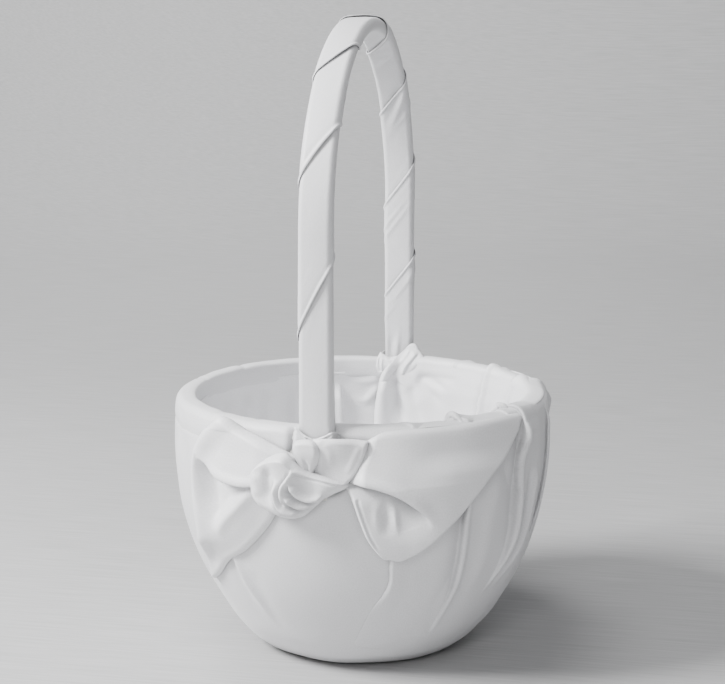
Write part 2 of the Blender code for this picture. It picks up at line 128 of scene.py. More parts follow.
# ---------------------------------------------------------------------------------------------- the wall
def wall_table():
    """Stations with their radius and height, from the foot up the outside, over the rim and down inside."""
    rows = [(height, share * BODY_RADIUS, height) for height, share in OUTSIDE]
    onwards = []
    for degrees in RIM_ANGLES:
        angle = math.radians(degrees)
        cosine, sine = math.cos(angle), math.sin(angle)
        square = RIM_SQUARENESS_INSIDE if degrees > 90 else RIM_SQUARENESS_OUTSIDE
        across = math.copysign(abs(cosine) ** square, cosine)
        up = math.copysign(abs(sine) ** square, sine)
        onwards.append((RIM_RADIUS + RIM_HALF_WIDTH * across, RIM_CENTRE + RIM_HALF_HEIGHT * up))
    onwards += [(radius, height) for height, radius in INSIDE]
    for radius, height in onwards:
        station = rows[-1][0] + math.hypot(radius - rows[-1][1], height - rows[-1][2])
        rows.append((station, radius, height))
    return np.array(rows)


WALL = wall_table()
CREST = float(np.interp(90, RIM_ANGLES, WALL[len(OUTSIDE) : len(OUTSIDE) + len(RIM_ANGLES), 0]))
LINING_TOP = float(WALL[len(OUTSIDE) + len(RIM_ANGLES), 0])
WALL_END = float(WALL[-1, 0])


def inside(height):
    """The station inside the basket at a height."""
    rows = WALL[len(OUTSIDE) + len(RIM_ANGLES) - 1 :]
    return float(np.interp(-height, -rows[:, 2], rows[:, 0]))


def wall_place(x, station, stand, nudge):
    """Points in space for chart millimetres, standing off the wall along its slope over nudge each way."""
    station = np.clip(station, WALL[0, 0], WALL_END)
    here = hermite(WALL[:, 0], WALL[:, 1:], station)
    ahead = hermite(WALL[:, 0], WALL[:, 1:], np.minimum(station + nudge, WALL_END))
    behind = hermite(WALL[:, 0], WALL[:, 1:], np.maximum(station - nudge, WALL[0, 0]))
    along = ahead - behind
    along /= np.maximum(np.hypot(along[..., 0], along[..., 1]), TINY)[..., None]
    radius = here[..., 0] + stand * along[..., 1]
    height = here[..., 1] - stand * along[..., 0]
    angle = np.radians(x / STATION_ARC)
    return np.stack([radius * np.sin(angle), -radius * np.cos(angle), height], axis=-1)


# --------------------------------------------------------------------------------------------- relief
def nearest(path, x, y):
    """Signed distance from a chart path (positive to its left), share along it, and the left direction."""
    best = np.full(x.shape, np.inf)
    found = [np.zeros(x.shape) for _ in range(4)]
    for index in range(len(path) - 1):
        (ax, ay), (bx, by) = path[index], path[index + 1]
        dx, dy = bx - ax, by - ay
        length = math.hypot(dx, dy)
        t = np.clip(((x - ax) * dx + (y - ay) * dy) / length**2, 0, 1)
        far = np.hypot(x - ax - t * dx, y - ay - t * dy)
        closer = far < best
        side = np.where(((y - ay) * dx - (x - ax) * dy) >= 0, 1, -1)
        best = np.where(closer, far, best)
        here = (far * side, (index + t) / (len(path) - 1), -dy / length, dx / length)
        found = [np.where(closer, new, old) for new, old in zip(here, found)]
    return found


def ends(share, start, end):
    """Fades a crease in and out along its length."""
    fade = np.ones(share.shape)
    if start > 0:
        fade = fade * smooth(share / start)
    if end > 0:
        fade = fade * smooth((1 - share) / end)
    return fade


class Relief:
    """Heights and sideways shifts, in millimetres, over a grid in the chart."""

    def __init__(self, x, y, edges=None):
        self.x, self.y, self.edges = x, y, edges
        self.stand, self.shift_x, self.shift_y = (np.zeros(x.shape) for _ in range(3))

    def ridge(self, points, height, width, fades=(0.25, 0.25)):
        """A soft ridge along a path, or a groove where height is negative."""
        signed, share, _, _ = nearest(sample(chart(points), 40), self.x, self.y)
        self.stand += height * np.exp(-((signed / width) ** 2)) * ends(share, *fades)

    def ridges(self, rows, fades=(0.25, 0.25), both=False):
        """A ridge for each row of path, height and width, and with both its mirror image at the back."""
        for points, height, width in rows:
            for path, _ in both_halves(points)[: 2 if both else 1]:
                self.ridge(path, height, width, fades)

    def fold(
        self, points, height, fall, side=1, lip=0, under=0, sharp=0.7, fades=(0.15, 0.2), hollow=(0, 1)
    ):
        """A layer edge: the cloth on one side of the path lies higher, and thins out over fall.

        lip rounds the edge up, under tucks the lower cloth beneath it, and hollow sinks the lower cloth
        towards the edge, by a depth and over a reach.
        """
        signed, share, left_x, left_y = nearest(sample(chart(points), 50), self.x, self.y)
        signed = signed * side
        fade = ends(share, *fades)
        upper = np.maximum(signed, 0)
        rise = smooth(signed / sharp * 0.5 + 0.5)
        self.stand += fade * height * rise * np.exp(-((upper / fall) ** 2))
        depth, reach = hollow
        self.stand -= fade * depth * (1 - rise) * np.exp(-((np.maximum(-signed, 0) / reach) ** 2))
        lip_width = 1.1 * sharp + 0.5
        self.stand += fade * lip * np.exp(-(((signed - lip_width) / lip_width) ** 2))
        tuck = -under * np.tanh(signed / (0.5 * sharp)) * np.exp(-np.abs(signed) / (2.2 * sharp))
        self.shift_x += fade * tuck * left_x * side
        self.shift_y += fade * tuck * left_y * side

    def bump(self, bearing, station, radii, height, turn=0):
        """A soft mound, or a hollow where height is negative. radii are in chart millimetres."""
        dx, dy = self.x - bearing * STATION_ARC, self.y - station
        cosine, sine = math.cos(math.radians(turn)), math.sin(math.radians(turn))
        across, up = dx * cosine + dy * sine, dy * cosine - dx * sine
        self.stand += height * np.exp(-((across / radii[0]) ** 2) - (up / radii[1]) ** 2)

    def ripple(self, height, wavelength, seed, stretch=1):
        """Slight unevenness: a few smooth waves in seeded directions."""
        draw = np.random.default_rng(seed)
        waves = 7
        total = np.zeros(self.x.shape)
        for _ in range(waves):
            angle, phase = draw.uniform(0, math.tau, 2)
            size = wavelength * draw.uniform(0.6, 1.6)
            along = self.x * math.cos(angle) + self.y * math.sin(angle) / stretch
            total += np.sin(math.tau * along / size + phase)
        self.stand += height * total / math.sqrt(waves)

    def rounding(self, **radii):
        """The height of rounded edges, from the radius of each edge that is named."""
        height = 1
        for edge, radius in radii.items():
            height = height * rolled(self.edges[edge], radius)
        return height

    def place(self, nudge=0.4):
        return wall_place(self.x + self.shift_x, self.y + self.shift_y, self.stand, nudge)


# ---------------------------------------------------------------------------------------------- meshes
def sheet_object(name, points, finish, uv, wrap=False, flip=False, thickness=CLOTH_THICKNESS, keep=None):
    """A grid of points in millimetres as a smooth quad mesh. wrap joins the last column to the first."""
    rows, columns = points.shape[:2]
    spans = columns if wrap else columns - 1
    row, column = np.meshgrid(np.arange(rows - 1), np.arange(spans), indexing="ij")
    following = (column + 1) % columns
    quads = np.stack(
        [
            row * columns + column,
            row * columns + following,
            (row + 1) * columns + following,
            (row + 1) * columns + column,
        ],
        axis=-1,
    ).reshape(-1, 4)
    corner_uv = np.stack([column, column + 1, column + 1, column], axis=-1).reshape(-1, 4)
    corner_row = np.stack([row, row, row + 1, row + 1], axis=-1).reshape(-1, 4)
    if keep is not None:
        kept = keep.reshape(-1)[quads].all(axis=1)
        quads, corner_uv, corner_row = quads[kept], corner_uv[kept], corner_row[kept]
    if flip:
        quads, corner_uv, corner_row = quads[:, ::-1], corner_uv[:, ::-1], corner_row[:, ::-1]
    u, v = uv
    if wrap:
        u = np.concatenate([u, u[:, :1] + (u[:, 1:2] - u[:, :1]) * columns], axis=1)
        v = np.concatenate([v, v[:, :1]], axis=1)
    used = np.unique(quads)
    renumber = np.zeros(rows * columns, int)
    renumber[used] = np.arange(len(used))
    mesh = bpy.data.meshes.new(name)
    mesh.vertices.add(len(used))
    mesh.vertices.foreach_set("co", (points.reshape(-1, 3)[used] * MM).astype(np.float32).ravel())
    mesh.loops.add(quads.size)
    mesh.loops.foreach_set("vertex_index", renumber[quads].astype(np.int32).ravel())
    mesh.polygons.add(len(quads))
    mesh.polygons.foreach_set("loop_start", np.arange(0, quads.size, 4, dtype=np.int32))
    mesh.update(calc_edges=True)
    layer = mesh.uv_layers.new(name="weave")
    flat = np.stack([u[corner_row, corner_uv], v[corner_row, corner_uv]], axis=-1) * MM
    layer.data.foreach_set("uv", flat.astype(np.float32).ravel())
    mesh.validate()
    mesh.shade_smooth()
    mesh.materials.append(finish)
    made = bpy.data.objects.new(name, mesh)
    bpy.context.scene.collection.objects.link(made)
    if thickness > 0:
        modifier = made.modifiers.new("cloth thickness", "SOLIDIFY")
        modifier.thickness = thickness * MM
        modifier.offset = -1
    return made


def add_cloth(name, points, uv, slot, nodes, cloth, **make):
    """Adds a piece of cloth to the body and hides the nodes it stands for; cloth, how it is cut and held, is
    not used.
    """
    piece = sheet_object(name, points, FINISHES[slot], uv, **make)
    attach(piece, BODY)
    if nodes:
        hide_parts(*nodes)


def add_sash(kind, points, relief, replaces=True, **cloth):
    """One stretch of the sash at the front, and its mirror image at the back."""
    for end, mirror in (("front", 1), ("back", -1)):
        turned = points * np.array([1, mirror, 1])
        nodes = [f"{end}_{kind}"] if replaces else []
        uv = (relief.x, relief.y)
        add_cloth(f"{end}_{kind}_satin", turned, uv, "sash_satin", nodes, cloth, flip=mirror < 0)


def patch(bottom, top, left, right, columns, rows):
    """A relief on a chart grid stretched between four edges, with its points crowded towards the edges."""
    crowd = 0.55

    def spread(count):
        t = np.linspace(0, 1, count)
        return (1 - crowd) * t + crowd * (0.5 - 0.5 * np.cos(math.pi * t))

    def read(points, places):
        points = chart(points)
        steps = np.hypot(*np.diff(points, axis=0).T)
        knots = np.concatenate(([0], np.cumsum(np.maximum(steps, 1e-6))))
        return hermite(knots, points, places * knots[-1])

    u, v = spread(columns), spread(rows)
    low, high = read(bottom, u)[None], read(top, u)[None]
    near, far = read(left, v)[:, None], read(right, v)[:, None]
    across, up = u[None, :, None], v[:, None, None]
    corners = (1 - up) * ((1 - across) * near[0, 0] + across * far[0, 0])
    corners = corners + up * ((1 - across) * near[-1, 0] + across * far[-1, 0])
    grid = (1 - up) * low + up * high + (1 - across) * near + across * far - corners
    x, y = grid[..., 0], grid[..., 1]
    step_u = np.hypot(np.diff(x, axis=1), np.diff(y, axis=1))
    step_v = np.hypot(np.diff(x, axis=0), np.diff(y, axis=0))
    from_left = np.concatenate([np.zeros((rows, 1)), np.cumsum(step_u, axis=1)], axis=1)
    from_bottom = np.concatenate([np.zeros((1, columns)), np.cumsum(step_v, axis=0)], axis=0)
    edges = {"left": from_left, "right": from_left[:, -1:] - from_left}
    edges |= {"bottom": from_bottom, "top": from_bottom[-1:] - from_bottom}
    return Relief(x, y, edges)


def rolled(distance, radius):
    """The height of a rounded edge, from 0 at the edge to 1 at radius from it."""
    inward = 1 - np.clip(distance / radius, 0, 1)
    return np.sqrt(np.clip(1 - inward**2, 0, 1))


# ------------------------------------------------------------------------------------------- materials
# Painted shade: satin colour is darkened in creases that ambient occlusion finds, down to a share of the
# colour.
PAINTED_CREASE_SHADE, CREASE_REACH, CREASE_SAMPLES = 0.66, 0.007, 6
SATIN_DARK = 0.90


def shader_nodes(name, colour, roughness, metallic=0, sheen=0, specular=0.5):
    made = bpy.data.materials.new(name)
    made.use_nodes = True
    tree = made.node_tree
    shader = tree.nodes["Principled BSDF"]
    shader.inputs["Base Color"].default_value = (*colour, 1)
    shader.inputs["Roughness"].default_value = roughness
    shader.inputs["Metallic"].default_value = metallic
    shader.inputs["Specular IOR Level"].default_value = specular
    shader.inputs["Sheen Weight"].default_value = sheen
    shader.inputs["Sheen Roughness"].default_value = 0.4
    return made, tree, shader


def scaled(tree, source, scale):
    mapping = tree.nodes.new("ShaderNodeMapping")
    mapping.inputs["Scale"].default_value = scale
    tree.links.new(source, mapping.inputs["Vector"])
    return mapping.outputs["Vector"]


def noise(tree, vector, scale, detail=2):
    texture = tree.nodes.new("ShaderNodeTexNoise")
    texture.inputs["Scale"].default_value = scale
    texture.inputs["Detail"].default_value = detail
    tree.links.new(vector, texture.inputs["Vector"])
    return texture.outputs["Fac"]


def tint(tree, shader, factor, dark, light):
    ramp = tree.nodes.new("ShaderNodeValToRGB")
    ramp.color_ramp.elements[0].position, ramp.color_ramp.elements[1].position = 0.3, 0.7
    ramp.color_ramp.elements[0].color = (*dark, 1)
    ramp.color_ramp.elements[1].color = (*light, 1)
    tree.links.new(factor, ramp.inputs["Fac"])
    tree.links.new(ramp.outputs["Color"], shader.inputs["Base Color"])


def bumps(tree, shader, layers):
    """Chains bump nodes, each from a height, a strength and a depth in metres."""
    normal = None
    for height, strength, depth in layers:
        bump = tree.nodes.new("ShaderNodeBump")
        bump.inputs["Strength"].default_value = strength
        bump.inputs["Distance"].default_value = depth
        tree.links.new(height, bump.inputs["Height"])
        if normal is not None:
            tree.links.new(normal, bump.inputs["Normal"])
        normal = bump.outputs["Normal"]
    tree.links.new(normal, shader.inputs["Normal"])


def satin(name, colour, roughness):
    """White satin: long fine threads, a grain where they float, faint crinkles, a soft sheen and painted
    crease shade.
    """
    made, tree, shader = shader_nodes(name, colour, roughness, sheen=0.25)
    place = tree.nodes.new("ShaderNodeUVMap")
    place.uv_map = "weave"
    uv = place.outputs["UV"]
    threads = noise(tree, scaled(tree, uv, (350, 4200, 1)), 1, 1)
    grain = noise(tree, uv, 1500, 2)
    crinkles = noise(tree, uv, 70, 3)
    dark = tuple(SATIN_DARK * part for part in colour)
    tint(tree, shader, grain, dark, colour)
    # painted shade in the creases, from ambient occlusion
    paint_crease_shade(tree, shader)
    gloss = tree.nodes.new("ShaderNodeMapRange")
    gloss.inputs["To Min"].default_value = roughness - 0.06
    gloss.inputs["To Max"].default_value = roughness + 0.08
    tree.links.new(noise(tree, uv, 240, 2), gloss.inputs["Value"])
    tree.links.new(gloss.outputs["Result"], shader.inputs["Roughness"])
    bumps(tree, shader, [(crinkles, 0.25, 0.0006), (threads, 0.4, 0.00008), (grain, 0.6, 0.00014)])
    return made


def paint_crease_shade(tree, shader):
    """Paints shade into the base colour: darkens it where ambient occlusion finds a tight crease."""
    colour = shader.inputs["Base Color"].links[0].from_socket
    reached = tree.nodes.new("ShaderNodeAmbientOcclusion")
    reached.samples = CREASE_SAMPLES
    reached.inputs["Distance"].default_value = CREASE_REACH
    tree.links.new(colour, reached.inputs["Color"])
    painted_shade_factor = tree.nodes.new("ShaderNodeMapRange")
    for socket, value in (("From Min", 0.25), ("From Max", 0.85), ("To Min", PAINTED_CREASE_SHADE), ("To Max", 1)):
        painted_shade_factor.inputs[socket].default_value = value
    tree.links.new(reached.outputs["AO"], painted_shade_factor.inputs["Value"])
    product = tree.nodes.new("ShaderNodeVectorMath")
    product.operation = "SCALE"
    tree.links.new(colour, product.inputs[0])
    tree.links.new(painted_shade_factor.outputs["Result"], product.inputs["Scale"])
    tree.links.new(product.outputs["Vector"], shader.inputs["Base Color"])


def object_coordinates(tree):
    return tree.nodes.new("ShaderNodeTexCoord").outputs["Object"]


def speckled(name, colour, roughness, grain, dark, bump, stretch=None, mottle=None, **surface):
    """A finish whose grain (scale, detail) gives both its tint and its bump (strength, depth in metres).

    dark is the share of the colour left in the dark parts. mottle is another grain, for the tint alone.
    """
    made, tree, shader = shader_nodes(name, colour, roughness, **surface)
    place = object_coordinates(tree)
    pattern = noise(tree, scaled(tree, place, stretch) if stretch else place, *grain)
    shade = noise(tree, place, *mottle) if mottle else pattern
    tint(tree, shader, shade, tuple(dark * part for part in colour), colour)
    bumps(tree, shader, [(pattern, *bump)])
    return made


WADDING = {"roughness": 0.95, "dark": 0.86, "sheen": 0.4, "specular": 0.2}
FINISHES = {
    "cover_satin": satin("cover_satin", (0.76, 0.76, 0.775), 0.46),
    "sash_satin": satin("sash_satin", (0.86, 0.86, 0.875), 0.44),
    "ribbon_satin": satin("ribbon_satin", (0.75, 0.75, 0.765), 0.44),
    "lining_satin": satin("lining_satin", (0.86, 0.86, 0.875), 0.48),
    "padding": speckled("padding", (0.86, 0.86, 0.84), grain=(900, 6), bump=(0.6, 0.0006), **WADDING),
    "base_felt": speckled("base_felt", (0.80, 0.80, 0.81), grain=(2200, 6), bump=(0.6, 0.0003), **WADDING),
    "bowl_plastic": speckled(
        "bowl_plastic", (0.80, 0.79, 0.75), 0.5, (1800, 3), 0.95, (0.3, 0.00005), mottle=(40, 2)
    ),
    "board": speckled(
        "board", (0.62, 0.55, 0.45), 0.9, (700, 5), 0.75, (0.4, 0.0001), (1, 1, 6), specular=0.25
    ),
    "rivet_metal": speckled(
        "rivet_metal", (0.66, 0.66, 0.68), 0.35, (1, 2), 0.85, (0.2, 0.00003), (3000, 300, 3000), metallic=1
    ),
}


def finish_frame():
    """CAD nodes get their slot's procedural material."""
    slots = {row["node"]: row["material_slot"] for row in frame["record"]["subparts"]}
    for name, node in frame["nodes"].items():
        node.data.materials.clear()
        node.data.materials.append(FINISHES[slots[name]])


# ------------------------------------------------------------------------------------- wall coverings
def whole_grid(columns, low, high, rows):
    bearing = np.linspace(-180, 180, columns, endpoint=False)
    return np.meshgrid(bearing * STATION_ARC, np.linspace(low, high, rows))


def mirrored(points):
    """The same path on the back half."""
    return [(180 - bearing, station) for bearing, station in points]


def both_halves(points):
    """A path and its mirror image, with the side each shows to the left, in the bearings of whole_grid."""
    back = mirrored(points)
    if back[0][0] > 180:
        back = [(bearing - 360, station) for bearing, station in back]
    return (points, 1), (back, -1)


def squeeze_at_feet(relief):
    """The padded rim is pressed in where the handle passes outside it."""
    half_width, run_out, depth = 7.5, 6, 3.9
    for bearing in (-180, 0, 180):
        x = np.abs(relief.x - bearing * STATION_ARC)
        reach = 1 - smooth((x - half_width) / run_out)
        outer_half = smooth((CREST + 1 - relief.y) / 5)
        relief.stand -= depth * reach * outer_half * smooth((relief.y - 84) / 8)


def add_covering(name, relief, slot, node, cloth, **make):
    """A piece of cloth that follows the wall, in the place of one node."""
    add_cloth(name, relief.place(), (relief.x, relief.y), slot, [node], cloth, **make)


def make_cover():
    x, y = whole_grid(560, 0.3, 105.5, 160)
    relief = Relief(x, y)
    folds = (
        ([(-32, 62), (-30.8, 52), (-29.1, 42.4), (-26.4, 33.3), (-22, 17)], 1.2, 2.4),
        ([(-34.5, 56), (-33.3, 44), (-30.6, 33), (-27, 20)], -0.8, 3.2),
        ([(-25, 50), (-24, 40), (-21.5, 28), (-18, 16)], -0.5, 4),
        ([(-46, 100), (-47.5, 84), (-50.5, 66), (-53, 48), (-56, 30)], 1.1, 3.4),
        ([(-52.5, 102), (-54, 84), (-56, 66), (-58, 45)], -0.8, 3.4),
        ([(-60, 103), (-62, 78), (-64, 52), (-65, 28)], 0.8, 4),
        ([(-78, 104), (-78.8, 70), (-79.5, 30)], -0.5, 5),
        ([(-90, 104), (-90, 70), (-90, 30)], 0.45, 5),
    )
    relief.ridges(folds, (0.2, 0.6), both=True)
    relief.ripple(0.12, 46, 3, 2.2)
    relief.stand = np.maximum(relief.stand, -0.9)
    relief.stand -= 1.4 * smooth((y - 101) / 4.5)
    squeeze_at_feet(relief)
    cloth = {"flat": (0.46, 0.125), "held": "stretched", "rests_on": ["shell_padding"]}
    make = {"wrap": True, "thickness": COVER_THICKNESS}
    add_covering("outer_cover_satin", relief, "cover_satin", "outer_cover", cloth, **make)


def make_rim():
    x, y = whole_grid(560, 98.5, LINING_TOP + 3, 90)
    relief = Relief(x, y)
    relief.ripple(0.16, 30, 11, 0.8)
    relief.ripple(0.07, 9, 12, 1)
    for centre, lean, height in ((26.5, 4, 1), (44.5, 5, 1.1)):
        for path, side in both_halves([(centre - lean, CREST + 6), (centre, CREST), (centre + 2, CREST - 5)]):
            relief.fold(path, height, 9, side=side, lip=0.3, under=0.5, sharp=0.6, fades=(0.2, 0.3))
    for bearing in (-24, -40, -66, -97, -121, -150):
        path = [(bearing, CREST - 8), (bearing + 1, CREST), (bearing + 3, CREST + 8)]
        relief.ridge(path, -0.4, 1.8, (0.35, 0.35))
    relief.stand = np.maximum(relief.stand, -0.4)
    relief.stand -= 0.9 * (1 - smooth((y - 99) / 7))
    relief.stand -= 0.9 * smooth((y - LINING_TOP + 3) / 5)
    relief.stand += 0.1
    squeeze_at_feet(relief)
    cloth = {"flat": (0.49, 0.034), "held": "stretched", "rests_on": ["rim_padding"]}
    add_covering("rim_binding_satin", relief, "cover_satin", "rim_binding", cloth, wrap=True)


def make_lining():
    x, y = whole_grid(600, LINING_TOP - 4, WALL_END, 160)
    relief = Relief(x, y)
    relief.ripple(0.25, 40, 21, 3)
    pleats = ((-152, 0.9), (-140, 1.5), (-127, 1.1), (-118, 1.6), (-105, 1), (-92, 1.4), (-80, 0.9))
    pleats += ((-66, 1.4), (-52, 1), (-40, 1.5), (-28, 0.9))
    draw = np.random.default_rng(5)
    for bearing, height in pleats:
        lean = draw.uniform(-2, 2)
        path = [(bearing, LINING_TOP + 1), (bearing + lean, inside(60)), (bearing + 1.5 * lean, inside(22))]
        relief.fold(path, 1.5 * height, draw.uniform(7, 12), side=1, sharp=3.2, fades=(0.1, 0.5))
    recess = [(-20.6, LINING_TOP + 0.5), (-20.4, inside(80)), (-20.2, inside(45)), (-21, inside(18))]
    for path, side in both_halves(recess):
        relief.fold(path, 2.4, 5, side=side, lip=1.4, under=0.8, sharp=0.9, fades=(0.1, 0.3))
    for path, _ in both_halves([(-26.5, LINING_TOP + 0.5), (-26.5, inside(80)), (-26.5, inside(45))]):
        relief.ridge(path, -0.6, 1.4, (0.1, 0.3))
    for height, drop, rise in ((102, 1, 0.8), (95, 5, 1.1)):
        wrinkle = [(-17, inside(height)), (-12, inside(height - 0.6 * drop)), (-6, inside(height + drop))]
        for path, _ in both_halves(wrinkle):
            relief.ridge(path, rise, 2, (0.5, 0.2))
    cloth = {"flat": (0.48, 0.115), "held": "stretched", "rests_on": ["basket_shell"]}
    add_covering("lining_satin_wall", relief, "lining_satin", "lining", cloth, wrap=True)


def make_drape():
    """The pleated panel on the +X side: up the outside, over the rim and a little way down inside."""
    left = [(9, 14), (12.5, 23.4), (16.3, 34.3), (19.6, 41.7), (21, 46.5), (21.3, 58), (30, 80), (44, 94)]
    left += [(56, 104), (62, CREST - 1), (62, CREST + 10)]
    right = mirrored(left)
    bottom = [(9, 14), (45, 8), (90, 6), (135, 8), (171, 14)]
    top = [(62, CREST + 10), (90, CREST + 10), (118, CREST + 10)]
    relief = patch(bottom, top, left, right, 560, 240)
    x, y = relief.x, relief.y
    edge = np.minimum(relief.edges["left"], relief.edges["right"])
    bearing = x / STATION_ARC
    step = 2.2 * smooth((y - 28) / 24)
    soft_edge = 1.4 + 7 * (1 - smooth((y - 30) / 18))
    relief.stand += 0.35 + step * np.exp(-((edge / 19) ** 2))
    under_swag = (1 - smooth((bearing - 62) / 6)) * smooth((y - 80) / 16)
    raised = smooth((bearing - 30) / 14) * smooth((82 - bearing) / 8) * (1 - under_swag)
    relief.stand += 2.2 * smooth((y - 30) / 30) * raised
    middle = [(40.2, 14), (42, 30), (42.8, 42), (42.6, 55), (42.4, 68), (42.4, 80), (43.6, 90)]
    over_rim_path = [(58.5, 32), (62.4, 50), (63.2, 63), (62.4, 76.1), (62.4, 86.1), (63.4, 96.1)]
    over_rim_path += [(65.2, 104.8), (66.4, 112), (65.6, CREST + 2), (64.5, CREST + 8)]
    near_middle = [(76.5, 44), (81, 60), (83.5, 76), (85.5, 88), (87, 98), (88, 106), (87, CREST)]
    # Pleats: path, on how many halves, height, width, lip, tuck under, fades, hollow.
    for points, halves, height, fall, lip, under, fades, hollow in (
        (middle, 2, 1.3, 5, 1.5, 1.3, (0.55, 0.1), (2.2, 5.5)),
        (over_rim_path, 2, 2, 6, 1.8, 1.5, (0.45, 0.2), (2.4, 8)),
        (near_middle, 1, 0.5, 4, 1.2, 1.5, (0.45, 0.2), (0.6, 4)),
    ):
        for path, side in both_halves(points)[:halves]:
            relief.fold(path, height, fall, -side, lip, under, 0.9, fades, hollow)
    valleys = (
        ([(25.5, 22), (26.5, 45), (28, 66)], -0.6, 5),
        ([(50.5, 25), (52, 50), (53, 75), (58, 95)], 0.6, 4),
        ([(61.5, 34), (66.3, 50), (68.2, 64), (69, 78), (70.4, 90)], -2.2, 1.5),
        ([(64.5, 34), (69.3, 50), (71.2, 64), (72.1, 78), (73.5, 92)], 1.5, 1.6),
    )
    relief.ridges(valleys, (0.4, 0.15), both=True)
    relief.ripple(0.12, 34, 31, 2.5)
    relief.stand = np.maximum(relief.stand, 0.2)
    relief.stand *= rolled(edge, soft_edge)
    relief.stand *= 1 - 0.5 * smooth((y - 103) / 8)
    over_rim = smooth((y - CREST - 2) / 7)
    relief.stand = relief.stand * (1 - 0.7 * over_rim) - 0.7 * over_rim
    relief.stand -= 0.5 * (1 - smooth((y - 10) / 10))
    cloth = {"flat": (0.20, 0.13), "area": 0.022, "held": "draped"}
    cloth["rests_on"] = ["outer_cover_satin", "rim_binding_satin"]
    add_covering("pleated_drape_satin", relief, "cover_satin", "pleated_drape", cloth)


def make_inner_drape():
    """The panel inside, from one foot of the handle round the +X side to the other."""
    low = inside(17)
    left = [(-9, low), (-8.4, inside(45)), (-8.2, inside(77)), (-7.6, inside(90)), (-6, inside(101))]
    left += [(-1.5, CREST + 2.5)]
    right = mirrored(left)
    bottom = [(-9, low), (45, low), (90, low), (135, low), (189, low)]
    top = [(-1.5, CREST + 2.5), (3, CREST - 3), (6.5, 108), (13, 106.5), (20, 108.5), (26, CREST - 4)]
    top += [(45, CREST - 3), (90, CREST - 3), (135, CREST - 3), (154, CREST - 4), (160, 108.5)]
    top += [(167, 106.5), (173.5, 108), (177, CREST - 3), (181.5, CREST + 2.5)]
    relief = patch(bottom, top, left, right, 460, 210)
    y = relief.y
    edge = np.minimum(relief.edges["left"], relief.edges["right"])
    away = smooth((y - CREST - 5) / 14)
    relief.stand += 0.7 + 3 * away + 3 * away * np.exp(-(((edge - 4.5) / 5.5) ** 2))
    beside_foot = [(2.6, inside(108)), (0.6, inside(104)), (0.9, inside(96)), (2.6, inside(86))]
    beside_foot += [(5, inside(76))]
    hollows = (
        (beside_foot, -2.4, 3.2),
        ([(8, inside(111)), (12, inside(105)), (24, inside(100))], -1.1, 2),
        ([(8, inside(109)), (12, inside(101)), (22, inside(92))], -1.1, 2.4),
        ([(9, inside(112)), (18, inside(108.5)), (30, inside(106.5))], -0.8, 1.8),
        ([(6, inside(103)), (9, inside(92)), (14, inside(80))], -1, 2.6),
        ([(8.5, inside(100)), (15, inside(80)), (18, inside(60))], 1.6, 7),
    )
    relief.ridges(hollows, (0.2, 0.45), both=True)
    lines = (
        [(43.6, CREST - 3), (43.2, CREST + 4), (42.6, inside(106)), (41.6, inside(100)), (40.2, inside(91))]
        + [(39, inside(70)), (38, inside(40))],
        [(66.5, CREST - 3), (65, CREST + 4), (62.5, inside(106)), (59.5, inside(98)), (57, inside(88))]
        + [(54, inside(50))],
    )
    for points in lines:
        for path, side in both_halves(points):
            relief.fold(path, 2.4, 8, -side, 1.3, 2.2, 0.7, (0.08, 0.3), (3.4, 4.5))
    relief.ripple(0.18, 30, 41, 1.5)
    relief.stand = np.maximum(relief.stand, 0.25)
    relief.stand *= rolled(edge, 3)
    relief.stand *= 0.2 + 0.8 * smooth(relief.edges["top"] / 9)
    cloth = {"flat": (0.26, 0.105), "area": 0.0255, "held": "draped"}
    cloth["rests_on"] = ["lining_satin_wall", "rim_binding_satin"]
    add_covering("inner_drape_satin", relief, "lining_satin", "inner_drape", cloth)


def make_floor():
    """The padded floor disc: crowned, with its satin gathered over the edge."""
    radius = FLOOR_HIGH.x / MM
    top, foot = FLOOR_HIGH.z / MM, FLOOR_LOW.z / MM
    turns, rings = 160, 44
    t = np.linspace(0, 1, rings)
    edge = 0.9
    reach = np.where(t < edge, t / edge, 1) * radius
    inner = 0.6
    rounding = smooth((reach / radius - 0.86) / 0.14)
    height = top - 1.4 * rounding - (top - foot) * np.clip((t - edge) / (1 - edge), 0, 1) * 0.8
    angle = np.linspace(0, math.tau, turns, endpoint=False)
    a, r = np.meshgrid(angle, np.maximum(reach, inner))
    share = r / radius
    gathers = 0.25 * np.sin(24 * a) * smooth((share - 0.75) / 0.25)
    sag = 0.1 * np.cos(3 * a + 1) * share**2
    z = np.repeat(height[:, None], turns, axis=1) + gathers + sag
    points = np.stack([r * np.cos(a), r * np.sin(a), z], axis=-1)
    uv = (points[..., 0], points[..., 1])
    cloth = {"flat": (0.09, 0.09), "area": 0.0062, "held": "stretched", "rests_on": ["floor_padding"]}
    add_cloth("floor_cover_satin", points, uv, "lining_satin", ["floor_cover"], cloth, wrap=True, flip=True)


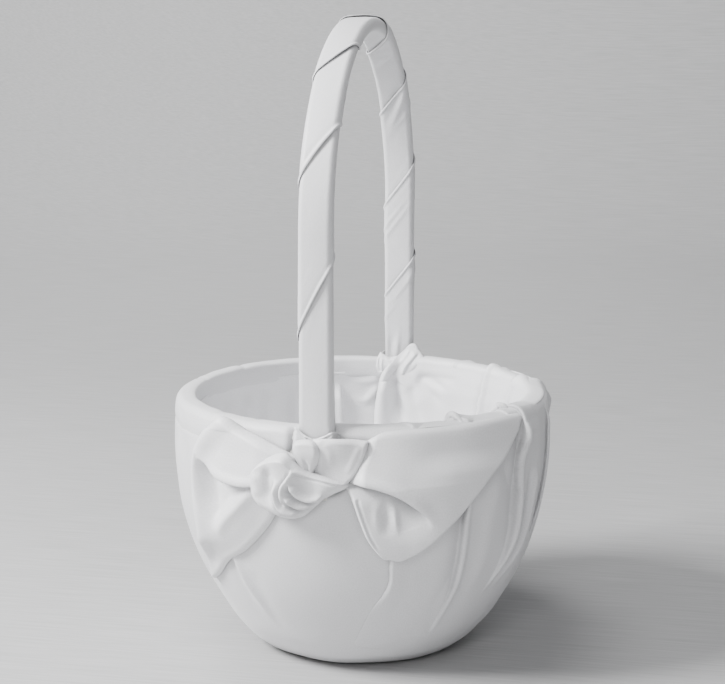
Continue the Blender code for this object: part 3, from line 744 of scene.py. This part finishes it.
# ---------------------------------------------------------------------------------------------- sashes
def make_swag():
    """The wide end of the sash: a smooth layer that falls open into a pouch under the knot."""
    left = [(19, 60.8), (16.2, 64.8), (14, 69.6), (11.9, 77.3), (9.8, 86), (8, 91.5), (8.5, 96)]
    left += [(10.5, 102), (12, 107.5)]
    right = [(23.2, 60), (27.2, 62.4), (31.2, 66.6), (35.4, 72.2), (40.6, 78.4), (44.6, 84), (50.6, 92.2)]
    right += [(56.4, 97.6), (61, 102.2), (65, 107), (68.5, 112.5)]
    bottom = [(19, 60.8), (21.2, 60), (23.2, 60)]
    top = [(12, 107.5), (15, 109.5), (18.5, 111.8), (24, 112.8), (31, 113), (45, 113.2), (60.5, 113.6)]
    top += [(68.5, 112.5)]
    relief = patch(bottom, top, left, right, 230, 220)
    x, y = relief.x, relief.y
    relief.stand += 0.9 + 0.23 * np.clip(113 - y, 0, 22) + 0.06 * np.clip(91 - y, 0, 20)
    low, high = 89, 109
    wall_low, wall_high = hermite(WALL[:, 0], WALL[:, 1], np.array([low, high]))
    bridge = np.interp(y, [low, high], [wall_low, wall_high]) - hermite(WALL[:, 0], WALL[:, 1], y)
    relief.stand += np.where((y > low) & (y < high), bridge, 0)
    relief.bump(31, 70, (12, 10), 2.2)
    mouth = [(7.5, 93.2), (11, 92.7), (15.5, 91.6), (20.1, 89.4), (24.6, 85.8), (28, 81.6), (30.2, 77.4)]
    mouth += [(30.9, 73.6)]
    relief.fold(mouth, 1.2, 14, side=1, lip=1.2, under=2.2, sharp=1.3, fades=(0, 0.35), hollow=(4.8, 5))
    relief.bump(20, 79, (10, 8), -1.8, turn=-25)
    pouch_folds = (
        ([(19.4, 87), (19, 80), (19.8, 71)], -1.3, 1.4),
        ([(21.3, 85.6), (21.5, 79), (22.4, 71)], 1.1, 1.3),
        ([(16.8, 87), (16.6, 80), (17.4, 71)], 0.6, 1.6),
    )
    relief.ridges(pouch_folds, (0.5, 0.5))
    relief.stand = np.maximum(relief.stand, 0.4)
    relief.ripple(0.12, 28, 51, 1)
    relief.ridge([(10.4, 86.5), (12.4, 77.4), (14.5, 69.8), (16.8, 64.8)], 0.5, 0.7, (0.05, 0.2))
    relief.ridge([(11.6, 86.5), (13.6, 77.4), (15.7, 70), (17.9, 65.4)], -0.5, 0.6, (0.05, 0.2))
    hem = smooth((92 - y) / 3)
    edge_left = hem * relief.rounding(left=1.8) + (1 - hem) * smooth(relief.edges["left"] / 9)
    relief.stand *= edge_left * relief.rounding(right=4, bottom=3, top=3)
    relief.stand += 0.5 + 1.9 * smooth((x / STATION_ARC - 24) / 14) * smooth((104 - y) / 10)
    cloth = {"flat": (0.08, 0.065), "area": 0.0036, "held": "draped"}
    cloth["rests_on"] = ["outer_cover_satin", "pleated_drape_satin"]
    add_sash("sash_swag", relief.place(5), relief, **cloth)


def make_loop():
    """The narrow end of the sash, folded back on itself into a flat open loop."""
    left = [(-50.9, 37.6), (-45.6, 50.4), (-41.8, 65.2), (-41.4, 78.6), (-41.2, 91), (-39.8, 101)]
    left += [(-35, 109.3), (-30, 112.6)]
    right = [(-48.6, 37.2), (-42.4, 41.4), (-33.2, 51), (-24.4, 58.1), (-18.4, 65.6), (-13.4, 74.1)]
    right += [(-10, 84), (-7, 94), (-5, 101.5)]
    bottom = [(-50.9, 37.6), (-49.8, 37.3), (-48.6, 37.2)]
    top = [(-30, 112.6), (-26, 111.9), (-22.5, 110.4), (-16.1, 107.7), (-10, 104.3), (-5, 101.5)]
    relief = patch(bottom, top, left, right, 200, 220)
    x, y = relief.x, relief.y
    relief.stand += 2.2 + 3.8 * smooth(relief.edges["right"] / 16) * smooth((y - 40) / 22)
    relief.stand += 2.2 * np.exp(-(((relief.edges["left"] - 5) / 4.5) ** 2)) * smooth((y - 44) / 20)
    mouth = [(-4, 92.5), (-10, 91.3), (-15, 90.2), (-20, 89.2), (-26.4, 89.8), (-31.3, 92), (-35.6, 96.5)]
    roll = [(-36.6, 98), (-37.9, 91), (-37.6, 84), (-36.6, 77), (-34.6, 70), (-32.6, 65)]
    slope = [(-10, 90), (-18, 86), (-23, 79.5), (-28.6, 72), (-32.4, 64)]
    to_mouth, to_roll, to_slope = (nearest(sample(chart(path), 50), x, y)[0] for path in (mouth, roll, slope))
    cave = smooth(to_mouth / 2.4) * smooth((to_roll + 1) / 7) * smooth((1.5 - to_slope) / 8)
    deepest = 0.55 + 0.45 * smooth(1 - (x / STATION_ARC + 36) / 18) * smooth((y - 66) / 16)
    relief.stand *= 1 - 0.95 * cave * deepest
    relief.fold(mouth, 1.5, 9, side=-1, lip=1, under=2, sharp=1, fades=(0, 0.3))
    relief.ridge(slope, 1, 2.8, (0.2, 0.2))
    relief.ridge([(-33, 88), (-30.5, 82), (-30.6, 74)], 0.6, 2.2, (0.3, 0.3))
    relief.ridge([(-36, 62), (-38.5, 54), (-43, 45)], -0.9, 2.4, (0.3, 0.4))
    relief.ripple(0.14, 26, 61, 1)
    relief.stand = np.maximum(relief.stand, 0.3)
    relief.stand *= relief.rounding(left=4.5, right=3, top=3.2, bottom=2)
    relief.stand += 0.35
    cloth = {"flat": (0.05, 0.08), "area": 0.0035, "held": "folded", "rests_on": ["outer_cover_satin"]}
    add_sash("sash_loop", relief.place(), relief, **cloth)


KNOT_RESTS_ON = ["outer_cover_satin", "handle_ribbon_satin"]


def knot_points(relief, fade=11):
    """Places a knot piece: on the wall's outside, carried up past the rim, clear of the handle's foot.

    fade is how far to the side of the foot the clearance takes to run out.
    """
    height = relief.y + relief.shift_y
    x = relief.x + relief.shift_x
    rows = WALL[: len(OUTSIDE)]
    radius = hermite(rows[:, 0], rows[:, 1], np.clip(height, 1, 99.5))
    over_foot = 1 - smooth((np.abs(x) - 6.6) / fade)
    clearance = over_foot * (1 + 2.6 * smooth((height - 95) / 11))
    radius = radius + relief.stand + clearance
    angle = np.radians(x / STATION_ARC)
    return np.stack([radius * np.sin(angle), -radius * np.cos(angle), height], axis=-1)


def make_knot_roll():
    """The turn of the sash that is pulled tight under the knot, gathered at its lower edge."""
    bottom = [(-17.9, 84), (-14.2, 80), (-10.7, 77.6), (-7.2, 76.2), (-3.8, 77), (-0.8, 80.5), (3.5, 86)]
    bottom += [(9.4, 90.4)]
    top = [(-17.5, 92), (-15.4, 98.4), (-11, 102.9), (-7.4, 103.6), (-5, 100.4), (-1.5, 97.2), (3.6, 95)]
    top += [(9.6, 92.2)]
    left = [(-17.9, 84), (-18.4, 88), (-17.5, 92)]
    right = [(9.4, 90.4), (9.7, 91.3), (9.6, 92.2)]
    relief = patch(bottom, top, left, right, 240, 150)
    x = relief.x
    lobe = smooth((1 - x / STATION_ARC) / 11)
    relief.stand += 4 + 6 * lobe
    relief.ridge([(-11.4, 100), (-11.2, 94), (-11, 88.4), (-9.8, 82.6)], -2.2, 1.9, (0.3, 0.4))
    relief.ridge([(-14.6, 97), (-15, 91), (-14, 85)], 0.8, 2.2, (0.3, 0.3))
    for points, height, width, under in (
        ([(-4.6, 99.5), (-5.6, 96), (-7.2, 91.7), (-7.2, 86.8), (-6, 82.4)], 2.6, 2.6, 0.6),
        ([(-5.6, 94.5), (-4.8, 90.4), (-3.2, 87.2), (-0.6, 85.4), (4.4, 86.4)], 2.4, 2.2, 0.6),
        ([(-9.2, 95), (-9.3, 87.4), (-7.8, 82), (-5.2, 79.4), (-1.6, 80)], 2.4, 2.2, 0.6),
        ([(-6.4, 88.4), (-4.8, 84), (-2.6, 82.2), (1.2, 83.4)], 2, 1.7, 0.5),
    ):
        relief.fold(points, height, width, side=1, lip=0.8, under=under, sharp=0.6, fades=(0.25, 0.2))
        relief.ridge([(bearing - 0.5, station - 0.7) for bearing, station in points], -1.2, 0.8, (0.25, 0.2))
    relief.ridge([(-4.6, 98.8), (-1.3, 96.1), (2.8, 94.4), (8.8, 91.8)], 0.6, 0.6, (0.1, 0.1))
    relief.ridge([(-4.8, 97.5), (-1.5, 94.9), (2.6, 93.3), (8.4, 90.9)], -0.5, 0.5, (0.1, 0.1))
    relief.ripple(0.12, 14, 71, 1)
    relief.stand *= relief.rounding(left=7, bottom=5.5, top=2.4, right=3)
    relief.stand += 0.9 + 1.5 * (1 - smooth((np.abs(x) - 3) / 10)) * smooth(relief.edges["bottom"] / 3)
    cloth = {"flat": (0.055, 0.04), "area": 0.0014, "held": "folded"}
    cloth["rests_on"] = KNOT_RESTS_ON
    add_sash("knot_roll", knot_points(relief), relief, **cloth)


def make_knot_band():
    """The turn of the sash that runs from the knot to the swag."""
    bottom = [(-0.6, 96), (2.6, 94.2), (9, 91.8)]
    top = [(-0.4, 110.3), (3, 110.8), (8, 110.6), (14.8, 109.4)]
    left = [(-0.6, 96), (-0.2, 101), (0, 106), (-0.4, 110.3)]
    right = [(9, 91.8), (11.2, 95.5), (12.8, 99.5), (14, 104), (14.8, 109.4)]
    relief = patch(bottom, top, left, right, 100, 100)
    x = relief.x
    relief.stand += 2.6 + 1.9 * smooth((x / STATION_ARC - 3) / 9)
    relief.bump(6, 102, (5.5, 6), -1.1, turn=15)
    relief.ridge([(3.2, 110), (4.4, 104), (4, 98)], 0.5, 1.6, (0.2, 0.3))
    relief.ridge([(12.6, 108.5), (10.6, 102), (8.6, 95.5)], 0.35, 1.2, (0.2, 0.2))
    relief.ripple(0.08, 12, 81, 1)
    relief.stand *= 0.3 + 0.7 * relief.rounding(top=2.2, right=1.8)
    relief.stand -= 1 - smooth(relief.edges["left"] / 3.5)
    cloth = {"flat": (0.022, 0.02), "area": 0.00038, "held": "folded"}
    cloth["rests_on"] = KNOT_RESTS_ON
    add_sash("knot_band", knot_points(relief), relief, **cloth)


def make_knot_wrap():
    """The turn of the sash over the foot of the handle, drawn to a point below."""
    bottom = [(-2.2, 95.8), (-1.3, 95.4), (-0.3, 95.8)]
    top = [(-5.6, 107.4), (-4.8, 109.2), (-2.6, 110.2), (0, 109.8), (1.3, 108.4)]
    left = [(-2.2, 95.8), (-4.2, 98.8), (-5.3, 103), (-5.6, 107.4)]
    right = [(-0.3, 95.8), (1.2, 100), (2, 104.6), (1.3, 108.4)]
    relief = patch(bottom, top, left, right, 90, 100)
    relief.stand += 3.4
    relief.ridge([(-2.4, 104), (-1.7, 99.5), (-1.2, 96)], -1, 0.8, (0.6, 0.1))
    relief.stand *= relief.rounding(left=4.2, right=2.6, top=2)
    relief.stand += 1
    cloth = {"flat": (0.013, 0.017), "area": 0.000165, "held": "folded"}
    cloth["rests_on"] = KNOT_RESTS_ON
    add_sash("knot_wrap", knot_points(relief), relief, **cloth)


def make_knot_collar():
    """A hemmed edge of the sash that shows as a V across the foot of the handle, above the knot."""
    bottom = [(-7.2, 98.5), (0, 100), (6.9, 102)]
    top = [(-6.2, 113.8), (-5.3, 114.6), (-2.6, 112), (-0.5, 110.5), (0.1, 110.2), (0.7, 110.5)]
    top += [(2.8, 111.8), (5.4, 113.4), (6.7, 112.4)]
    left = [(-7.2, 98.5), (-6.9, 106), (-6.2, 113.8)]
    right = [(6.9, 102), (7, 107), (6.7, 112.4)]
    relief = patch(bottom, top, left, right, 120, 60)
    from_top = relief.edges["top"]
    relief.stand += 0.55
    relief.stand += 0.3 * np.exp(-(((from_top - 0.5) / 0.4) ** 2))
    relief.stand -= 0.3 * np.exp(-(((from_top - 1.3) / 0.35) ** 2))
    relief.ridge([(-2.6, 112), (-1.8, 109.5), (-1, 107.5)], 0.35, 0.7)
    relief.ridge([(3, 112), (2.6, 110), (2, 108)], 0.3, 0.7)
    cloth = {"flat": (0.02, 0.015), "area": 0.00027, "held": "folded", "rests_on": ["handle_ribbon_satin"]}
    add_sash("knot_collar", knot_points(relief, 2.5), relief, replaces=False, **cloth)


# The inside of the wall at a foot of the handle, carried up over the rim and up the handle: height, radius.
FOOT_INSIDE = ((84, 74.8), (96, 75), (103, 73.9), (107, 73.1), (110.5, 73.2), (113, 74.6))
FOOT_INSIDE += ((115.5, 76.2), (118, 77), (122, 77.3), (127, 77.5))
FOOT_INSIDE_RADIUS = 75
FLAP_BEND = 104
FRONT_FLAP_RISE = 0.42


def flap_points(relief, rise):
    """Places a flap: millimetres across and heights, on the inside of the foot of the handle.

    rise is the share of its height that a flap keeps above the inside of the rim.
    """
    rows = np.array(FOOT_INSIDE)
    height = relief.y + relief.shift_y
    height = np.minimum(height, FLAP_BEND) + rise * np.maximum(height - FLAP_BEND, 0)
    radius = hermite(rows[:, 0], rows[:, 1], height) - relief.stand
    angle = (relief.x + relief.shift_x) / FOOT_INSIDE_RADIUS
    return np.stack([radius * np.sin(angle), -radius * np.cos(angle), height], axis=-1)


def chart_across(points):
    """Millimetres across as bearings, for the chart."""
    return [(x / STATION_ARC, height) for x, height in points]


def make_foot_flaps():
    """Two flaps of the lining that cross in a V over the inside of each foot of the handle."""
    left = chart_across([(-9.3, 98), (-8.4, 101.5), (-6.4, 106.6), (-3.6, 109.9), (-0.9, 112.7)])
    right = chart_across([(7, 98), (8.5, 102.5), (11, 108), (14.6, 113.6)])
    bottom = chart_across([(-9.3, 98), (0, 98), (7, 98)])
    top = chart_across([(-0.9, 112.7), (3.5, 116.8), (7.6, 120.3), (8.6, 120.3), (11.5, 117), (14.6, 113.6)])
    relief = patch(bottom, top, left, right, 90, 100)
    x, y = relief.x, relief.y
    low = 1 - smooth((y - 104) / 10)
    ridge_centre = -5 + 0.35 * (y - 104)
    relief.stand += 2 + 3.4 * (0.35 + 0.65 * low) * np.exp(-(((x - ridge_centre) / 3) ** 2))
    relief.ridge(chart_across([(5.2, 114), (2.6, 109), (0.6, 105), (0.9, 97)]), -1.7, 2.2, (0.3, 0))
    edge = chart_across([(11.6, 116.6), (8.6, 112.5), (5.4, 108), (4.4, 104)])
    relief.fold(edge, 1.1, 5, side=-1, lip=0.3, sharp=0.7)
    relief.ridge(chart_across([(7, 118), (4.4, 113.5), (2.4, 110.5)]), 0.5, 0.9)
    relief.stand *= relief.rounding(left=2.4, right=3) * (0.35 + 0.65 * relief.rounding(top=1.6))
    relief.stand += 0.3 - 1.6 * (1 - smooth(relief.edges["bottom"] / 6))
    add_flap("inner_flap_right", relief, (0.026, 0.024), {"back": 0.00036, "front": 0.00024})

    left = chart_across([(-9.9, 110), (-9.2, 113), (-7.9, 115.6)])
    right = chart_across([(-5.8, 104.5), (-3, 108), (0, 112)])
    bottom = chart_across([(-9.9, 110), (-9.2, 107), (-7.8, 104.5), (-5.8, 104.5)])
    top = chart_across([(-7.9, 115.6), (-4.4, 113.9), (0, 112)])
    relief = patch(bottom, top, left, right, 60, 60)
    relief.stand += 1.6
    relief.ridge(chart_across([(-7.8, 114), (-7.9, 110), (-7.2, 106.5)]), -0.7, 0.7, (0.2, 0.1))
    relief.ridge(chart_across([(-6.6, 113.5), (-6.8, 110), (-6.5, 107)]), 0.6, 0.7, (0.2, 0.1))
    relief.ridge(chart_across([(-5.2, 113), (-3.4, 112.2), (-1.6, 111.6)]), 0.3, 0.5)
    relief.stand *= relief.rounding(left=1.6) * (0.3 + 0.7 * relief.rounding(top=1))
    relief.stand += 0.3 - 1.3 * (1 - smooth(relief.edges["bottom"] / 3))
    add_flap("inner_flap_left", relief, (0.013, 0.012), {"back": 0.00009, "front": 0.00005})


def add_flap(name, relief, flat, areas):
    """A flap at both feet, the front one folded lower. areas are the flat areas by foot."""
    for end, rise, mirror in (("front", FRONT_FLAP_RISE, 1), ("back", 1, -1)):
        points = flap_points(relief, rise) * np.array([1, mirror, 1])
        cloth = {"flat": flat, "area": areas[end], "held": "folded", "rests_on": ["inner_drape_satin"]}
        add_cloth(f"{end}_{name}", points, (relief.x, relief.y), "lining_satin", [], cloth, flip=mirror > 0)


# ---------------------------------------------------------------------------------------------- handle
# Where a ribbon edge crosses the middle of the handle's outer and inner faces in turn, from the front foot.
WRAP_CROSSINGS = (-84, -36, 24, 62, 91, 120, 142, 164, 189, 216, 249, 270, 291, 314)
WRAP_CROSSINGS += (338, 360, 382, 404, 428, 452)
FACE_SHARE = 0.42


def handle_place(length, across, outward):
    """Points in space from millimetres along the handle, across it (+X) and outward from its middle."""
    leg = HANDLE_SPRING - HANDLE_FOOT
    arch = math.pi * HANDLE_RADIUS
    angle = math.pi - np.clip((length - leg) / HANDLE_RADIUS, 0, math.pi)
    radius = HANDLE_RADIUS + outward
    y = radius * np.cos(angle)
    z = HANDLE_SPRING + radius * np.sin(angle)
    z = z - np.maximum(leg - length, 0) - np.maximum(length - leg - arch, 0)
    return np.stack([across, y, z], axis=-1)


def ribbon_section(phase):
    """A puffy flat section: across and outward places, and their outward directions, from a share round it.

    Share 0 is the middle of the outer face, 0.25 the +X edge and 0.5 the middle of the inner face.
    """
    corner = 2.2
    half_width, half_thickness = RIBBON_HALF_WIDTH, RIBBON_HALF_THICKNESS
    count = 720
    turn = np.linspace(0, math.tau, count, endpoint=False)
    flat_x, flat_z = half_width - corner, half_thickness - corner
    x = corner * np.sin(turn) + flat_x * np.clip(np.sin(turn) * 60, -1, 1)
    z = corner * np.cos(turn) + flat_z * np.clip(np.cos(turn) * 60, -1, 1)
    steps = np.hypot(np.diff(np.append(x, x[0])), np.diff(np.append(z, z[0])))
    arc = np.concatenate(([0], np.cumsum(steps)))
    face = 2 * half_width / arc[-1]
    halves = [part / 2 for part in (FACE_SHARE, face)]
    shares, knots = (np.array([0, half, 0.5 - half, 0.5, 0.5 + half, 1 - half, 1]) for half in halves)
    place = np.interp(phase % 1, shares, knots * arc[-1])
    full_x, full_z = np.append(x, x[0]), np.append(z, z[0])
    across, outward = np.interp(place, arc, full_x), np.interp(place, arc, full_z)
    crown = 0.3 * (1 - (across / half_width) ** 2) * np.sign(outward)
    length = np.maximum(np.hypot(across / half_width**2, outward / half_thickness**2), TINY)
    normal_x = across / half_width**2 / length
    normal_z = outward / half_thickness**2 / length
    return across, outward + crown, normal_x, normal_z


def make_handle():
    """One ribbon wound up the handle, each turn lying over the edge of the one before."""
    crossings = np.array(WRAP_CROSSINGS)
    turns = np.arange(len(crossings)) / 2 + 0.5
    total = 2 * (HANDLE_SPRING - HANDLE_FOOT) + math.pi * HANDLE_RADIUS
    per_turn = 90
    turn = np.linspace(turns[0], turns[-1] - 1.3, int((turns[-1] - 1.3 - turns[0]) * per_turn))
    overlap = 0.14
    width = np.concatenate([np.linspace(0, 0.06, 9)[:-1], np.linspace(0.06, 1 + overlap, 44)])
    tau, across_share = np.meshgrid(turn, width, indexing="ij")
    at_turn = tau + across_share
    length = hermite(turns, crossings, at_turn)
    across, outward, normal_x, normal_z = ribbon_section(tau)
    pitch = hermite(turns, crossings, np.minimum(tau + 1, turns[-1])) - hermite(turns, crossings, tau)
    from_edge = across_share * pitch
    rise = 0.62 * (1 - smooth(across_share)) - 0.12 * smooth((across_share - 0.92) / 0.1)
    lip = 0.30 * np.exp(-(((from_edge - 1.1) / 0.9) ** 2)) - 0.14 * np.exp(-(((from_edge - 3.2) / 1.2) ** 2))
    draw = np.random.default_rng(9)
    wrinkles = np.zeros(tau.shape)
    for centre in draw.uniform(turns[1], turns[-2], 16):
        place, reach = draw.uniform(5, 18), draw.uniform(0.12, 0.3)
        strength = draw.uniform(0.15, 0.5)
        wrinkles += strength * np.exp(-(((from_edge - place) / 1.5) ** 2) - ((tau - centre) / reach) ** 2)
    to_end = np.minimum(length, total - length)
    inner_face = smooth(-outward / RIBBON_HALF_THICKNESS)
    wrinkles -= inner_face * np.exp(-(((across + 3.6) / 1.9) ** 2) - ((to_end - 13.5) / 5) ** 2)
    beside_middle = (across + 0.5 - 0.1 * (to_end - 12)) / 1.3
    wrinkles += 0.7 * inner_face * np.exp(-(beside_middle**2) - ((to_end - 13) / 6.5) ** 2)
    # Long wrinkles: place along the handle and across it, turn in degrees, half length, half width, height.
    for place, middle, turn_by, long, short, height in (
        (264.5, 1.5, -50, 7, 2, 0.55),
        (259.5, -0.5, -50, 7, 2.4, -0.35),
        (295, 3.4, -68, 12, 1.3, 0.5),
        (293.5, 0.6, -68, 12, 1.6, -0.4),
    ):
        cosine, sine = math.cos(math.radians(turn_by)), math.sin(math.radians(turn_by))
        down, aside = length - place, across - middle
        lengthwise, crosswise = aside * cosine + down * sine, down * cosine - aside * sine
        wrinkles += height * inner_face * np.exp(-((lengthwise / long) ** 2) - (crosswise / short) ** 2)
    puff = 0.12 * np.sin(math.tau * tau * 2 + across_share * 4)
    stand = rise + lip + wrinkles + puff
    points = handle_place(length, across + normal_x * stand, outward + normal_z * stand)
    keep = (length > -1.5) & (length < total + 1.5)
    uv = (tau * 40, from_edge)
    cloth = {"flat": (0.034, 0.55), "held": "folded", "rests_on": ["handle_padding"]}
    make = {"thickness": RIBBON_THICKNESS, "keep": keep, "flip": True}
    add_cloth("handle_ribbon_satin", points, uv, "ribbon_satin", ["handle_ribbon"], cloth, **make)


# ------------------------------------------------------------------------------------ stage and camera
VIEW_BEARING, VIEW_RISE, VIEW_DISTANCE = 12.8, 10.43, 0.850
VIEW_TARGET = Vector((0, 0, 0.13425))
VIEW_SIDE = 0.00036
VIEW_LENS, SENSOR = 95.8, 36


def make_camera():
    bearing, rise = math.radians(VIEW_BEARING), math.radians(VIEW_RISE)
    back = Vector((math.sin(bearing) * math.cos(rise), -math.cos(bearing) * math.cos(rise), math.sin(rise)))
    right = Vector((math.cos(bearing), math.sin(bearing), 0))
    up = back.cross(right)
    data = bpy.data.cameras.new("camera")
    data.lens, data.sensor_width, data.sensor_fit = VIEW_LENS, SENSOR, "HORIZONTAL"
    data.clip_start, data.clip_end = 0.01, 20
    camera = bpy.data.objects.new("camera", data)
    turn = Matrix((right, up, back)).transposed().to_4x4()
    camera.matrix_world = Matrix.Translation(VIEW_TARGET + right * VIEW_SIDE + back * VIEW_DISTANCE) @ turn
    bpy.context.scene.collection.objects.link(camera)
    bpy.context.scene.camera = camera


def area_light(name, place, target, size, power):
    data = bpy.data.lights.new(name, "AREA")
    data.shape, data.size, data.energy = "DISK", size, power
    light = bpy.data.objects.new(name, data)
    light.location = place
    light.rotation_euler = (Vector(target) - Vector(place)).to_track_quat("-Z", "Y").to_euler()
    bpy.context.scene.collection.objects.link(light)


def make_stage():
    """A pale floor that sweeps up into a backdrop all round, soft studio light, and an even grey surround."""
    floor_material, tree, shader = shader_nodes("stage_floor", (0.56, 0.56, 0.565), 0.85, specular=0.2)
    place = object_coordinates(tree)
    streaks = noise(tree, scaled(tree, place, (4, 110, 110)), 6, 6)
    tint(tree, shader, streaks, (0.40, 0.40, 0.402), (0.48, 0.48, 0.482))
    turns, rings = 96, 40
    reach = np.linspace(0, 1, rings)
    flat, bend = 1.25, 0.75
    radius = np.minimum(reach / 0.6, 1) * flat
    angle_up = np.clip((reach - 0.6) / 0.25, 0, 1) * math.pi / 2
    radius = radius + bend * np.sin(angle_up)
    height = bend * (1 - np.cos(angle_up)) + np.clip((reach - 0.85) / 0.15, 0, 1) * 1.2
    a, r = np.meshgrid(np.linspace(0, math.tau, turns, endpoint=False), np.maximum(radius, 0.001))
    z = np.repeat(height[:, None], turns, axis=1)
    points = np.stack([r * np.cos(a), r * np.sin(a), z], axis=-1) / MM
    uv = (points[..., 0], points[..., 1])
    floor = sheet_object("stage_floor", points, floor_material, uv, wrap=True, flip=True, thickness=0)
    world = bpy.data.worlds.new("surround")
    world.use_nodes = True
    background = world.node_tree.nodes["Background"]
    background.inputs["Color"].default_value = (0.93, 0.95, 1, 1)
    background.inputs["Strength"].default_value = 0.30
    bpy.context.scene.world = world
    area_light("key", (-0.76, -0.46, 0.78), (0, 0, 0.10), 0.45, 34)
    area_light("front", (0.10, -1.5, 0.80), (0, 0, 0.1), 0.5, 8)
    area_light("top", (-0.25, -0.1, 1.35), (0, 0, 0.1), 0.6, 9)
    area_light("backdrop", (-0.5, 1.05, 1), (-0.4, 2, 0.15), 0.8, 12)


make_camera()
make_stage()
finish_frame()
make_cover()
make_rim()
make_lining()
make_drape()
make_inner_drape()
make_floor()
make_handle()
make_swag()
make_loop()
make_knot_roll()
make_knot_band()
make_knot_wrap()
make_knot_collar()
make_foot_flaps()
